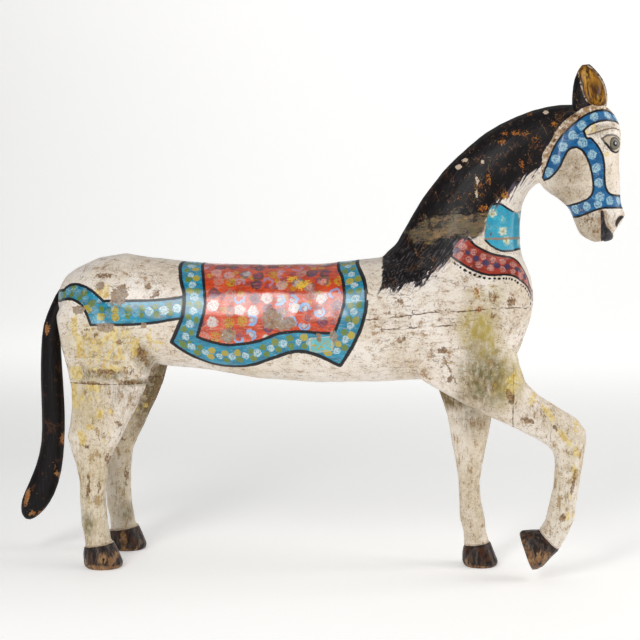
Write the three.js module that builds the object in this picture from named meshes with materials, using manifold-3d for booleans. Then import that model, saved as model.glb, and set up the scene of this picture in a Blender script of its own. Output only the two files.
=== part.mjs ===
// A carved and painted wooden horse, stepping with its right foreleg raised.
// It is built up from seven blocks of wood: the trunk, the neck with the head, four legs and the tail.
// Units are millimetres. +X runs from tail to nose, +Y to the horse's left and +Z up.
// The origin lies on the floor, under the middle of the horse's bounding box.

import * as THREE from "three";
import { mergeVertices } from "three/addons/utils/BufferGeometryUtils.js";
import Module from "manifold-3d";

const wasm = await Module();
wasm.setup();

// Driving dimensions, in millimetres
const horseHeight = 1000; // floor to ear tips: heights and lengths below are thousandths of it
const trunkWidth = 208;
const neckWidth = 92; // half way up the neck
const headWidth = 108; // across the cheeks
const thighWidth = 100;
const shoulderWidth = 78;
const cannonWidth = 46; // of all four legs, between knee or hock and fetlock
const hoofWidth = 66;
const tailWidth = 36;
const hindSpread = 166; // between the middles of the hind hooves
const standingForeOffset = 38; // the standing fore hoof's middle, from the middle of the horse
const raisedForeOffset = 64;
const earWall = 6;
const jointGap = 0.3; // glue line between two blocks
const nostrilDepth = 9;
const mouthDepth = 8;

const share = horseHeight / 1000;
const sideways = new THREE.Vector3(0, 1, 0);

// Shapes

// Rings of equally many points, skinned into one closed surface with a fan on each end.
function skin(rings) {
  const count = rings[0].length;
  const points = rings.flat();
  const index = [];
  for (let r = 0; r + 1 < rings.length; r++) {
    for (let i = 0; i < count; i++) {
      const here = r * count + i;
      const next = r * count + ((i + 1) % count);
      index.push(here, next, here + count, next, next + count, here + count);
    }
  }
  [rings[0], rings.at(-1)].forEach((ring, end) => {
    const middle = points.length;
    points.push(ring.reduce((sum, p) => sum.add(p), new THREE.Vector3()).divideScalar(count));
    const first = end * (rings.length - 1) * count;
    for (let i = 0; i < count; i++) {
      const pair = [first + i, first + ((i + 1) % count)];
      if (!end) pair.reverse();
      index.push(...pair, middle);
    }
  });
  const geometry = new THREE.BufferGeometry().setFromPoints(points);
  geometry.setIndex(index);
  return geometry;
}

// One ring between a front and a back point of the outline. Its half width is measured sideways.
// crown narrows the ring towards the front point, or towards the back point if it is negative.
// square above 2 makes the ring boxy.
function ring({ front, back, halfWidth, crown = 0, square = 2 }, sides) {
  const middle = front.clone().add(back).multiplyScalar(0.5);
  const reach = front.clone().sub(back).multiplyScalar(0.5);
  const bulge = (v) => Math.sign(v) * Math.abs(v) ** (2 / square);
  return Array.from({ length: sides }, (_, i) => {
    const turn = (2 * Math.PI * (i + 0.5)) / sides;
    const along = bulge(Math.sin(turn));
    const across = bulge(Math.cos(turn)) * halfWidth * (1 - crown * along);
    return middle.clone().addScaledVector(reach, along).addScaledVector(sideways, across);
  });
}

// A limb through stations of [front x, front z, back x, back z, middle y, half width, crown, square].
// The x and z values are thousandths of the horse's height, the others are millimetres.
function limb(stations, { sides = 16, steps = 2 } = {}) {
  const spline = (pick) => new THREE.CatmullRomCurve3(stations.map(pick), false, "centripetal");
  const fronts = spline(([x, z, , , y]) => new THREE.Vector3(x * share, y, z * share));
  const backs = spline(([, , x, z, y]) => new THREE.Vector3(x * share, y, z * share));
  const widths = spline(([, , , , , w, crown = 0, square = 2]) => new THREE.Vector3(w, crown * 50, square * 50));
  const total = (stations.length - 1) * steps;
  const rings = Array.from({ length: total + 1 }, (_, i) => {
    const t = i / total;
    const width = widths.getPoint(t);
    return ring(
      {
        front: fronts.getPoint(t),
        back: backs.getPoint(t),
        halfWidth: width.x,
        crown: width.y / 50,
        square: width.z / 50,
      },
      sides,
    );
  });
  return skin(rings);
}

// Solids

function solid(geometry) {
  const bare = geometry.clone();
  bare.deleteAttribute("normal");
  bare.deleteAttribute("uv");
  const merged = mergeVertices(bare, 1e-3);
  const mesh = new wasm.Mesh({
    numProp: 3,
    vertProperties: new Float32Array(merged.attributes.position.array),
    triVerts: new Uint32Array(merged.index.array),
  });
  const made = new wasm.Manifold(mesh);
  if (made.volume() > 0) return made;
  const turned = new Uint32Array(merged.index.array).reverse();
  return new wasm.Manifold(new wasm.Mesh({ numProp: 3, vertProperties: mesh.vertProperties, triVerts: turned }));
}

function joined(solids) {
  return solids.reduce((all, next) => all.add(next));
}

function block(from, to) {
  const size = new THREE.Vector3(...to).sub(new THREE.Vector3(...from));
  const middle = new THREE.Vector3(...from).addScaledVector(size, 0.5);
  const box = new THREE.BoxGeometry(...size.toArray());
  box.translate(...middle.toArray());
  return solid(box);
}

// tilt leans its top forward, and turn swings its front to the horse's left
function ball(x, y, z, rx, ry, rz, { tilt = 0, turn = 0, parts = 12 } = {}) {
  const sphere = new THREE.SphereGeometry(1, parts, Math.round(parts * 0.6));
  sphere.scale(rx, ry, rz);
  sphere.rotateZ(turn);
  sphere.rotateY(tilt);
  sphere.translate(x * share, y, z * share);
  return solid(sphere);
}

// Trunk

const halfTrunk = trunkWidth / 2;

function trunkStations() {
  // x, top z, bottom z, width as a share of the widest, crown
  return [
    [-538, 552, 530, 0.1, 0],
    [-533, 567, 505, 0.34, 0],
    [-518, 588, 478, 0.56, 0],
    [-496, 603, 452, 0.74, 0.02],
    [-454, 622, 425, 0.93, 0.04],
    [-400, 630, 411, 1, 0.05],
    [-320, 619, 403, 0.99, 0.04],
    [-215, 611, 394, 0.97, 0.02],
    [-120, 610, 379, 0.97, 0.02],
    [0, 612, 373, 0.98, 0.02],
    [115, 624, 377, 1, 0.04],
    [225, 640, 383, 1.01, 0.06],
    [310, 648, 391, 1, 0.08],
    [365, 648, 408, 0.93, 0.08],
    [396, 636, 440, 0.8, 0.04],
    [410, 605, 482, 0.6, 0],
    [419, 582, 508, 0.4, 0],
    [423, 552, 534, 0.12, 0],
  ].map(([x, top, bottom, width, crown]) => [x, top, x, bottom, 0, width * halfTrunk, crown, 2.15]);
}

// Legs

const halfThigh = thighWidth / 2;
const halfShoulder = shoulderWidth / 2;
const halfCannon = cannonWidth / 2;
const halfHoof = hoofWidth / 2;

// side is -1 for the right leg and 1 for the left one, and ahead moves the leg forward
function hindLeg(side, ahead) {
  const hoofY = hindSpread / 2;
  const hipY = halfTrunk - halfThigh * 0.94;
  const y = (down) => side * THREE.MathUtils.lerp(hipY, hoofY, down);
  const leg = [
    [-352, 545, -512, 545, y(0), halfThigh * 0.8],
    [-326, 480, -530, 505, y(0), halfThigh * 0.94],
    [-322, 432, -521, 446, y(0.05), halfThigh],
    [-334, 396, -508, 404, y(0.12), halfThigh * 0.99],
    [-346, 360, -498, 360, y(0.25), halfThigh * 0.9],
    [-364, 320, -496, 320, y(0.42), halfThigh * 0.77],
    [-382, 286, -499, 286, y(0.6), halfThigh * 0.67],
    [-394, 260, -504, 263, y(0.72), halfCannon * 1.34],
    [-407, 236, -495, 236, y(0.82), halfCannon * 1.22],
    [-417, 212, -485, 212, y(0.9), halfCannon * 1.1],
    [-421, 177, -477, 176, y(0.96), halfCannon],
    [-423, 135, -476, 132, y(1), halfCannon],
    [-420, 92, -474, 92, y(1), halfCannon * 1.14],
    [-416, 66, -468, 68, y(1), halfCannon * 1.08],
    [-412, 48, -466, 40, y(1), halfCannon * 1.1],
  ];
  const hoof = [
    [-409, 53, -469, 41, y(1), halfHoof * 0.84],
    [-400, 35, -471, 28, y(1), halfHoof * 0.95],
    [-390, 11, -470, 11, y(1), halfHoof * 1.03],
    [-391, 4, -468, 4, y(1), halfHoof * 1.02],
    [-396, 0, -463, 0, y(1), halfHoof * 0.92],
  ];
  return legWithHoof(moved(leg, ahead), moved(hoof, ahead));
}

function standingForeleg() {
  const shoulderY = halfTrunk - halfShoulder * 1.02;
  const y = (down) => THREE.MathUtils.lerp(shoulderY, standingForeOffset, down);
  const leg = [
    [385, 500, 246, 490, y(0), halfShoulder * 0.9],
    [385, 440, 228, 430, y(0), halfShoulder],
    [368, 392, 221, 385, y(0), halfShoulder],
    [355, 345, 237, 345, y(0.1), halfShoulder * 0.92],
    [342, 300, 253, 300, y(0.3), halfShoulder * 0.8],
    [334, 254, 262, 254, y(0.5), halfShoulder * 0.72],
    [326, 212, 270, 212, y(0.7), halfCannon * 1.12],
    [320, 172, 277, 172, y(0.85), halfCannon],
    [323, 132, 279, 130, y(0.95), halfCannon],
    [330, 98, 280, 96, y(1), halfCannon * 1.12],
    [333, 70, 288, 70, y(1), halfCannon * 1.06],
    [341, 47, 290, 40, y(1), halfCannon * 1.1],
  ];
  const hoof = [
    [343, 48, 288, 38, y(1), halfHoof * 0.84],
    [350, 30, 286, 26, y(1), halfHoof * 0.94],
    [358, 10, 286, 10, y(1), halfHoof * 1.02],
    [357, 4, 288, 4, y(1), halfHoof],
    [352, 0, 292, 0, y(1), halfHoof * 0.92],
  ];
  return legWithHoof(leg, hoof);
}

function raisedForeleg() {
  const shoulderY = halfTrunk - halfShoulder * 1.02;
  const y = (down) => -THREE.MathUtils.lerp(shoulderY, raisedForeOffset, down);
  const leg = [
    [385, 505, 190, 440, y(0), halfShoulder * 0.8],
    [393, 450, 204, 389, y(0), halfShoulder * 0.94],
    [399, 420, 300, 337, y(0), halfShoulder],
    [410, 388, 352, 314, y(0.1), halfShoulder * 0.92],
    [434, 363, 396, 294, y(0.25), halfShoulder * 0.84],
    [476, 338, 434, 276, y(0.5), halfShoulder * 0.76],
    [509, 318, 455, 263, y(0.7), halfShoulder * 0.74],
    [525, 296, 463, 252, y(0.8), halfShoulder * 0.75],
    [527, 272, 466, 240, y(0.88), halfShoulder * 0.72],
    [522, 238, 466, 216, y(0.94), halfCannon * 1.12],
    [515, 196, 465, 188, y(1), halfCannon],
    [509, 150, 458, 155, y(1), halfCannon],
    [507, 122, 451, 120, y(1), halfCannon * 1.14],
    [495, 94, 441, 104, y(1), halfCannon * 1.1],
    [478, 62, 437, 96, y(1), halfCannon * 1.12],
  ];
  const hoof = [
    [477, 59, 436, 99, y(1), halfHoof * 0.84],
    [466, 49, 423, 99, y(1), halfHoof * 0.94],
    [447, 27, 406, 96, y(1), halfHoof * 1.02],
    [436, 21, 402, 92, y(1), halfHoof],
    [427, 20, 402, 86, y(1), halfHoof * 0.92],
  ];
  return legWithHoof(leg, hoof);
}

function moved(stations, ahead) {
  return stations.map(([frontX, frontZ, backX, backZ, ...rest]) => [
    frontX + ahead,
    frontZ,
    backX + ahead,
    backZ,
    ...rest,
  ]);
}

function legWithHoof(leg, hoof) {
  return solid(limb(leg, { sides: 14, steps: 1 })).add(solid(limb(hoof, { sides: 18, steps: 1 })));
}

// Neck, head and ears

const halfNeck = neckWidth / 2;
const halfHead = headWidth / 2;

function neck() {
  return solid(
    limb(
      [
        [408, 560, 180, 560, 0, halfTrunk * 0.9, -0.1],
        [404, 612, 122, 621, 0, halfTrunk * 0.76, -0.2],
        [398, 650, 150, 651, 0, halfTrunk * 0.66, -0.2],
        [396, 690, 186, 714, 0, halfNeck * 1.24, -0.16],
        [399, 722, 226, 773, 0, halfNeck * 1.08, -0.12],
        [405, 742, 272, 823, 0, halfNeck, -0.08],
        [416, 760, 327, 870, 0, halfNeck * 0.96, -0.06],
        [432, 772, 385, 900, 0, halfNeck * 0.96, -0.05],
        [462, 776, 445, 919, 0, halfNeck * 0.98, -0.05],
        [500, 790, 492, 923, 0, halfNeck * 0.9, -0.05],
        [540, 830, 530, 916, 0, halfNeck * 0.7],
      ],
      { sides: 20, steps: 2 },
    ),
  );
}

function skull() {
  return solid(
    limb(
      [
        [558, 917, 500, 922, 0, halfHead * 0.5, 0, 2.2],
        [573, 903, 462, 900, 0, halfHead * 0.78, 0.06, 2.3],
        [584, 882, 440, 862, 0, halfHead * 0.94, 0.1, 2.4],
        [587, 858, 427, 820, 0, halfHead, 0.12, 2.4],
        [584, 826, 426, 786, 0, halfHead * 0.97, 0.16, 2.4],
        [584, 800, 441, 760, 0, halfHead * 0.88, 0.18, 2.3],
        [586, 772, 466, 742, 0, halfHead * 0.76, 0.16, 2.3],
        [587, 745, 485, 725, 0, halfHead * 0.66, 0.1, 2.3],
        [590, 727, 495, 709, 0, halfHead * 0.62, 0.05, 2.3],
        [597, 709, 502, 691, 0, halfHead * 0.63, 0, 2.3],
        [590, 693, 510, 674, 0, halfHead * 0.58, 0, 2.2],
        [578, 678, 522, 664, 0, halfHead * 0.47, 0, 2.2],
        [572, 663, 540, 656, 0, halfHead * 0.3, 0, 2],
      ],
      { sides: 22, steps: 2 },
    ),
  );
}

const earY = headWidth * 0.26;

// side is -1 for the right ear and 1 for the left one; the cup opens outwards and forwards
function ear(side) {
  const lean = (up) => side * (earY + up * 6);
  const leaf = limb(
    [
      [555, 902, 497, 902, lean(0), 15],
      [559, 928, 493, 925, lean(0.2), 17],
      [557, 948, 494, 950, lean(0.5), 17],
      [549, 968, 497, 971, lean(0.7), 14.5],
      [536, 985, 503, 986, lean(0.9), 9.5],
      [524, 996, 510, 995, lean(1), 4],
    ],
    { sides: 16, steps: 2 },
  );
  const outwards = side * (21 + earWall);
  const cup = ball(537, lean(0.5) + outwards, 951, 25, 26, 43, { turn: side * -0.5, parts: 16 });
  return solid(leaf).subtract(cup);
}

// The lids stand out as a low mound round the painted eye, under the ridge of the brow.
function eyelids(side) {
  return ball(568, side * halfHead * 0.56, 845, 19, 9, 13, { turn: side * -0.62 });
}

function brow(side) {
  return ball(556, side * halfHead * 0.7, 873, 27, 8, 6, { tilt: -0.1, turn: side * -0.5 });
}

function nostril(side) {
  return ball(588, side * halfHead * 0.44, 697, 5.5, nostrilDepth, 11.5, { tilt: 0.45 });
}

// The mouth is a wedge cut into each side, wide at the lips, that ends before it meets the other.
function mouth(side) {
  const inner = side * (halfHead * 0.6 - mouthDepth);
  const outer = side * farOut;
  const outline = [
    [552, 652],
    [573, 652],
    [558.5, 715],
    [554, 715],
  ];
  const face = (y) => outline.map(([x, z]) => new THREE.Vector3(x * share, y, z * share));
  return solid(skin([face(inner), face(outer)]));
}

function head() {
  const sides = [-1, 1];
  const proud = sides.flatMap((side) => [ear(side), eyelids(side), brow(side)]);
  const sunk = sides.flatMap((side) => [nostril(side), mouth(side)]);
  return joined([neck(), skull(), ...proud]).subtract(joined(sunk));
}

// Tail

const tailSeat = { x: -531, from: 492, to: 578 };

function tail() {
  const half = tailWidth / 2;
  return solid(
    limb(
      [
        [-500, 543, -515, 578, 0, half * 0.7],
        [-520, 524, -540, 557, 0, half * 0.8],
        [-532, 503, -557, 527, 0, half * 0.9],
        [-539, 472, -575, 482, 0, half * 0.95],
        [-539, 430, -581, 432, 0, half],
        [-536, 370, -583, 370, 0, half],
        [-533, 300, -582, 300, 0, half],
        [-535, 235, -584, 238, 0, half],
        [-542, 178, -596, 190, 0, half],
        [-558, 128, -614, 148, 0, half * 0.95],
        [-580, 95, -628, 115, 0, half * 0.86],
        [-600, 78, -629, 88, 0, half * 0.62],
        [-610, 74, -621, 76, 0, half * 0.3],
      ],
      { sides: 14, steps: 2 },
    ),
  );
}

// Joints: the room of each block of wood, which the trunk gives up with a glue line round it

const farOut = 900; // beyond the horse on every side

// The neck stands on a seat that falls towards the throat. The chin hangs a little lower.
function neckRoom(gap) {
  const throat = { x: 396, z: 668 };
  const fall = 4.6; // degrees
  const upper = block([-farOut, -farOut, 0], [farOut, farOut, farOut]);
  const seated = upper.rotate([0, fall, 0]).translate([throat.x * share, 0, throat.z * share + gap]);
  return seated.add(block([460 * share, -farOut, 600 * share], [farOut, farOut, farOut]));
}

function rightForelegRoom(gap) {
  return block([387 * share + gap, -farOut, -farOut], [farOut, 0, 425 * share - gap]);
}

function leftForelegRoom(gap) {
  return block([150 * share, 0, -farOut], [farOut, farOut, 372 * share - gap]);
}

function rightHindRoom(gap) {
  return block([-farOut, -farOut, -farOut], [-200 * share, 0, 374 * share - gap]);
}

function leftHindRoom(gap) {
  return block([-farOut, 0, -farOut], [-200 * share, farOut, 374 * share - gap]);
}

// The tail's root sits on a small upright flat that is cut into the rump.
function tailRoom(gap) {
  const half = tailWidth / 2 + 2 - gap;
  const { x, from, to } = tailSeat;
  return block([-farOut, -half, from * share], [x * share - gap, half, to * share]);
}

// The horse

const paint = {
  trunk: { color: 0xd9cfc0, roughness: 0.55 },
  neckAndHead: { color: 0x1d1a1b, roughness: 0.45 },
  leg: { color: 0xd2c6b4, roughness: 0.6 },
  tail: { color: 0x17110f, roughness: 0.4 },
};

function piece(name, made, finish) {
  const mesh = made.getMesh();
  const geometry = new THREE.BufferGeometry();
  geometry.setAttribute("position", new THREE.BufferAttribute(mesh.vertProperties, 3));
  geometry.setIndex(new THREE.BufferAttribute(mesh.triVerts, 1));
  geometry.computeVertexNormals();
  const material = new THREE.MeshStandardMaterial({ ...finish, metalness: 0 });
  const part = new THREE.Mesh(geometry, material);
  part.name = name;
  return part;
}

const legAhead = 6; // the left hind leg stands this much further forward
const figure = joined([
  solid(limb(trunkStations(), { sides: 28, steps: 1 })),
  hindLeg(-1, 0),
  hindLeg(1, legAhead),
  standingForeleg(),
  raisedForeleg(),
  head(),
]);

const rooms = [neckRoom, rightForelegRoom, leftForelegRoom, rightHindRoom, leftHindRoom];
const trunk = figure.subtract(joined([...rooms, tailRoom].map((room) => room(-jointGap))));

const horse = new THREE.Group();
horse.add(
  piece("trunk", trunk, paint.trunk),
  piece("neck_and_head", figure.intersect(neckRoom(0)), paint.neckAndHead),
  piece("right_foreleg", figure.intersect(rightForelegRoom(0)), paint.leg),
  piece("left_foreleg", figure.intersect(leftForelegRoom(0)), paint.leg),
  piece("right_hind_leg", figure.intersect(rightHindRoom(0)), paint.leg),
  piece("left_hind_leg", figure.intersect(leftHindRoom(0)), paint.leg),
  piece("tail", tail().intersect(block([-farOut, -farOut, 0], [tailSeat.x * share, farOut, farOut])), paint.tail),
);

// Centre the bounding box over the origin, with the hooves on the floor.
const box = new THREE.Box3().setFromObject(horse);
const middle = box.getCenter(new THREE.Vector3());
horse.position.set(-middle.x, -middle.y, -box.min.z);

export default horse;
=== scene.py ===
# Painted wooden horse: seven glued blocks, carved, painted and worn.
import math

import bmesh
import bpy
import numpy as np
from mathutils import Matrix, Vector, noise


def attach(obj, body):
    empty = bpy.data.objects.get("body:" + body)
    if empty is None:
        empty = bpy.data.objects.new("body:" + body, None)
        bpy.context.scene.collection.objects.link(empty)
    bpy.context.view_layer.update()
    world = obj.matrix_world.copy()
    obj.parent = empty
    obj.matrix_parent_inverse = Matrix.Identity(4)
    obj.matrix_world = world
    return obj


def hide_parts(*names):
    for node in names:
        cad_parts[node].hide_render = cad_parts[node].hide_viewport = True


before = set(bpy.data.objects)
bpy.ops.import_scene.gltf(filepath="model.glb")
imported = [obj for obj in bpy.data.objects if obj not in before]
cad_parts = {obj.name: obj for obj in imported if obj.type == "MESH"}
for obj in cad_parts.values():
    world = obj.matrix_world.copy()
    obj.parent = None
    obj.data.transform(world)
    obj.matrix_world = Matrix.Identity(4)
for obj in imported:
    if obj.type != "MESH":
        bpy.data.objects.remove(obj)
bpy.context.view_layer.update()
scene = bpy.context.scene
scene.view_settings.view_transform = "Standard"

# everything below is in millimetres in the part's frame, +X to the nose, +Y to the horse's left
mm = 0.001


# small helpers

def deselectAll():
    if bpy.context.object and bpy.context.object.mode != "OBJECT":
        bpy.ops.object.mode_set(mode="OBJECT")
    bpy.ops.object.select_all(action="DESELECT")


def activate(piece):
    deselectAll()
    piece.select_set(True)
    bpy.context.view_layer.objects.active = piece


def pointsOf(piece):
    flat = np.empty(len(piece.data.vertices) * 3, np.float32)
    piece.data.vertices.foreach_get("co", flat)
    return flat.reshape(-1, 3).astype(float) / mm


def normalsOf(piece):
    flat = np.empty(len(piece.data.vertices) * 3, np.float32)
    piece.data.vertex_normals.foreach_get("vector", flat)
    return flat.reshape(-1, 3).astype(float)


def movePoints(piece, points):
    piece.data.vertices.foreach_set("co", (points * mm).astype(np.float32).ravel())
    piece.data.update()


def copyOf(piece, name):
    twin = piece.copy()
    twin.data = piece.data.copy()
    twin.name = name
    scene.collection.objects.link(twin)
    return twin


def applyModifiers(piece):
    activate(piece)
    for modifier in list(piece.modifiers):
        bpy.ops.object.modifier_apply(modifier=modifier.name)


def step(low, high, value):
    t = np.clip((value - low) / (high - low), 0, 1)
    return t * t * (3 - 2 * t)


def bump(distance, reach):
    return np.exp(-((distance / reach) ** 2))


# smooths a piece with a weight from 0 to 1 at each point
def soften(piece, weights, repeats):
    group = piece.vertex_groups.new(name="softness")
    levels = np.round(np.clip(weights, 0, 1) * 10).astype(int)
    for level in range(1, 11):
        found = np.nonzero(levels == level)[0]
        if len(found):
            group.add(found.tolist(), level / 10, "REPLACE")
    smooth = piece.modifiers.new("soften", "SMOOTH")
    smooth.vertex_group = group.name
    smooth.factor = 0.5
    smooth.iterations = repeats
    applyModifiers(piece)
    piece.vertex_groups.clear()


# camera and studio

studio = {
    "azimuth": 8.0,  # degrees round towards the chest
    "distance": 3000.0,
    "height": 738.0,
    "aimedAt": -16.0,  # the photograph's middle, along the horse, from the middle of its box
    "pitch": 4.574,
    "lens": 84.375,
    "floorColour": (0.86, 0.85, 0.83),
    "floorGlow": 0.3,  # paper lit from behind
    "wallHeight": 3600.0,
}


def makeCamera():
    turn = math.radians(studio["azimuth"])
    bpy.ops.object.camera_add(
        location=(
            (studio["distance"] * math.sin(turn) - studio["aimedAt"]) * mm,
            -studio["distance"] * math.cos(turn) * mm,
            studio["height"] * mm,
        ),
        rotation=(math.radians(90 - studio["pitch"]), 0, turn),
    )
    camera = bpy.context.object
    camera.name = "photoCamera"
    camera.data.sensor_width = 36
    camera.data.lens = studio["lens"]
    scene.camera = camera


def makeStudio():
    deselectAll()
    bpy.ops.mesh.primitive_plane_add(size=16, location=(0, 0, 0))
    floor = bpy.context.object
    floor.name = "studioFloor"
    bpy.ops.object.mode_set(mode="EDIT")
    bpy.ops.mesh.select_mode(type="EDGE")
    bpy.ops.mesh.select_all(action="DESELECT")
    bpy.ops.object.mode_set(mode="OBJECT")
    for edge in floor.data.edges:
        ends = [floor.data.vertices[i].co.y for i in edge.vertices]
        edge.select = min(ends) > 7.9
    bpy.ops.object.mode_set(mode="EDIT")
    bpy.ops.mesh.extrude_region_move(TRANSFORM_OT_translate={"value": (0, 0, studio["wallHeight"] * mm)})
    bpy.ops.object.mode_set(mode="OBJECT")
    bend = floor.modifiers.new("cove", "BEVEL")
    bend.width = 2.6
    bend.segments = 24
    bend.limit_method = "ANGLE"
    applyModifiers(floor)
    bpy.ops.object.shade_smooth()
    paper = bpy.data.materials.new("studioPaper")
    paper.use_nodes = True
    shader = paper.node_tree.nodes["Principled BSDF"]
    shader.inputs["Base Color"].default_value = (*studio["floorColour"], 1)
    shader.inputs["Roughness"].default_value = 0.75
    shader.inputs["Emission Color"].default_value = (1, 1, 1, 1)
    shader.inputs["Emission Strength"].default_value = studio["floorGlow"]
    floor.data.materials.append(paper)


def addSoftbox(name, place, target, size, watts, colour=(1, 1, 1)):
    bpy.ops.object.light_add(type="AREA", location=[v * mm for v in place])
    lamp = bpy.context.object
    lamp.name = name
    lamp.data.shape = "RECTANGLE"
    lamp.data.size, lamp.data.size_y = size
    lamp.data.energy = watts
    lamp.data.color = colour
    aim = Vector([v * mm for v in target]) - lamp.location
    lamp.rotation_euler = aim.to_track_quat("-Z", "Y").to_euler()


def makeLights():
    addSoftbox("keySoftbox", (-770, -2700, 1750), (-80, 0, 500), (0.62, 2.2), 45)
    addSoftbox("fillSoftbox", (2600, -1700, 1900), (150, 0, 500), (1.8, 1.8), 11)
    addSoftbox("chestSoftbox", (2600, 150, 1500), (450, 0, 780), (1.4, 2.0), 33, (1, 0.99, 0.97))
    addSoftbox("topSoftbox", (0, 700, 2900), (0, 200, 0), (3.0, 2.2), 6)
    addSoftbox("backdropSoftbox", (400, 3400, 3400), (400, 7500, 700), (7.0, 1.6), 118)
    world = bpy.data.worlds.new("studioAir")
    scene.world = world
    world.use_nodes = True
    world.node_tree.nodes["Background"].inputs["Color"].default_value = (0.95, 0.97, 1, 1)
    world.node_tree.nodes["Background"].inputs["Strength"].default_value = 0.26


makeCamera()
makeStudio()
makeLights()
print("camera and studio made")


# the carved wood, as one form, before it is parted into its blocks

carving = {
    "glue": 0.25,  # the blocks swell this much to close their glue lines
    "trunkGrain": 3.3,  # distance between points on the trunk
    "fineGrain": 2.1,  # and on the head and legs
    "unevenness": 0.75,
}


def joinBlocks(name, nodeNames):
    copies = [copyOf(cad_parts[n], n + "Copy") for n in nodeNames]
    deselectAll()
    for blank in copies:
        blank.parent = None
        blank.select_set(True)
    bpy.context.view_layer.objects.active = copies[0]
    bpy.ops.object.join()
    whole = bpy.context.object
    whole.name = name
    for key in list(whole.keys()):
        if key.startswith("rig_"):
            del whole[key]
    whole.data.materials.clear()
    bpy.ops.object.mode_set(mode="EDIT")
    bpy.ops.mesh.select_all(action="SELECT")
    bpy.ops.mesh.remove_doubles(threshold=0.00002)
    bpy.ops.transform.shrink_fatten(value=carving["glue"] * mm)
    bpy.ops.object.mode_set(mode="OBJECT")
    return whole


def remesh(piece, grain):
    activate(piece)
    piece.data.remesh_voxel_size = grain * mm
    piece.data.remesh_voxel_adaptivity = 0
    bpy.ops.object.voxel_remesh()


# how strongly the facets and creases are worked away: the body most, the ears least
def softness(points):
    x, y, z = points.T
    body = step(335, 400, z) * (1 - step(690, 800, z))
    neck = step(690, 800, z) * 0.4
    legs = (1 - step(335, 400, z)) * 0.24
    weights = body + neck + legs
    head = step(440, 475, x) * step(640, 670, z)
    weights = weights * (1 - head) + head * 0.16
    ears = step(914, 926, z) * step(495, 505, x)
    weights = weights * (1 - ears) + ears * 0.05
    hooves = (1 - step(44, 60, z)) * (1 - step(395, 410, x))
    raisedHoof = step(-20, 0, 72 - z + (x - 470) * -0.5) * step(405, 412, x) * (1 - step(110, 120, z))
    weights = weights * (1 - 0.75 * np.maximum(hooves, raisedHoof))
    return weights


# the small ups and downs left by the carver's tools
def handWork(piece):
    points, normals = pointsOf(piece), normalsOf(piece)
    x, y, z = points.T
    lift = np.array([noise.noise(Vector(p) / 52) * 1.5 + noise.noise(Vector(p) / 17 + Vector((7, 0, 0))) * 0.55 for p in points])
    calm = 1 - 0.7 * step(900, 930, z) - 0.5 * (1 - step(30, 60, z))
    movePoints(piece, points + normals * (lift * calm * carving["unevenness"])[:, None])


def carveWhole(name, grain):
    whole = joinBlocks(name, [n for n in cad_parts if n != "tail"])
    remesh(whole, grain)
    soften(whole, softness(pointsOf(whole)), round(70 * (2.1 / grain) ** 2))
    handWork(whole)
    return whole


trunkWood = carveWhole("trunkWood", carving["trunkGrain"])
fineWood = carveWhole("fineWood", carving["fineGrain"])
print("wood carved:", len(trunkWood.data.vertices), "and", len(fineWood.data.vertices), "points")


# the joints between the blocks, as in the part

joints = {
    "throat": (412, 668),  # x and z of the neck's seat at the throat
    "seatFall": 4.6,  # degrees
    "rightForeleg": (403, 425),
    "leftForeleg": (166, 372),
    "hindLegs": (-184, 374),
    "far": 900,
}


def roomBlock(name, low, high):
    deselectAll()
    size = [(b - a) * mm for a, b in zip(low, high)]
    middle = [(a + b) / 2 * mm for a, b in zip(low, high)]
    bpy.ops.mesh.primitive_cube_add(size=1, location=middle, scale=size)
    room = bpy.context.object
    room.name = name
    bpy.ops.object.transform_apply(location=True, rotation=True, scale=True)
    return room


def neckRoom():
    far = joints["far"]
    room = roomBlock("neckRoom", (-far, -far, 0), (far, far, far))
    room.rotation_euler = (0, math.radians(joints["seatFall"]), 0)
    room.location = (joints["throat"][0] * mm, 0, joints["throat"][1] * mm)
    bpy.ops.object.transform_apply(location=True, rotation=True, scale=True)
    chin = roomBlock("chinRoom", (476, -far, 600), (far, far, far))
    return [room, chin]


def rightForelegRoom():
    x, z = joints["rightForeleg"]
    return [roomBlock("rightForelegRoom", (x, -joints["far"], -joints["far"]), (joints["far"], 0, z))]


def leftForelegRoom():
    x, z = joints["leftForeleg"]
    return [roomBlock("leftForelegRoom", (x, 0, -joints["far"]), (joints["far"], joints["far"], z))]


def hindRoom(side):
    x, z = joints["hindLegs"]
    low, high = (-joints["far"], 0) if side < 0 else (0, joints["far"])
    return [roomBlock("hindRoom", (-joints["far"], low, -joints["far"]), (x, high, z))]


def cutWith(piece, tools, operation):
    for tool in tools:
        cut = piece.modifiers.new("cut", "BOOLEAN")
        cut.operation = operation
        cut.solver = "MANIFOLD"
        cut.object = tool
    applyModifiers(piece)
    for tool in tools:
        bpy.data.objects.remove(tool)


def keepInside(source, name, rooms):
    if len(rooms) == 2:
        cutWith(rooms[0], rooms[1:], "UNION")
    block = copyOf(source, name)
    cutWith(block, rooms[:1], "INTERSECT")
    return block


def partBlocks():
    blocks = {
        "neck_and_head": keepInside(fineWood, "neckAndHead", neckRoom()),
        "right_foreleg": keepInside(fineWood, "rightForeleg", rightForelegRoom()),
        "left_foreleg": keepInside(fineWood, "leftForeleg", leftForelegRoom()),
        "right_hind_leg": keepInside(fineWood, "rightHindLeg", hindRoom(-1)),
        "left_hind_leg": keepInside(fineWood, "leftHindLeg", hindRoom(1)),
    }
    rooms = neckRoom() + rightForelegRoom() + leftForelegRoom() + hindRoom(-1) + hindRoom(1)
    trunkBlock = copyOf(trunkWood, "trunkBlock")
    cutWith(trunkBlock, rooms, "DIFFERENCE")
    blocks["trunk"] = trunkBlock
    bpy.data.objects.remove(trunkWood)
    bpy.data.objects.remove(fineWood)
    return blocks


blocks = partBlocks()


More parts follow.
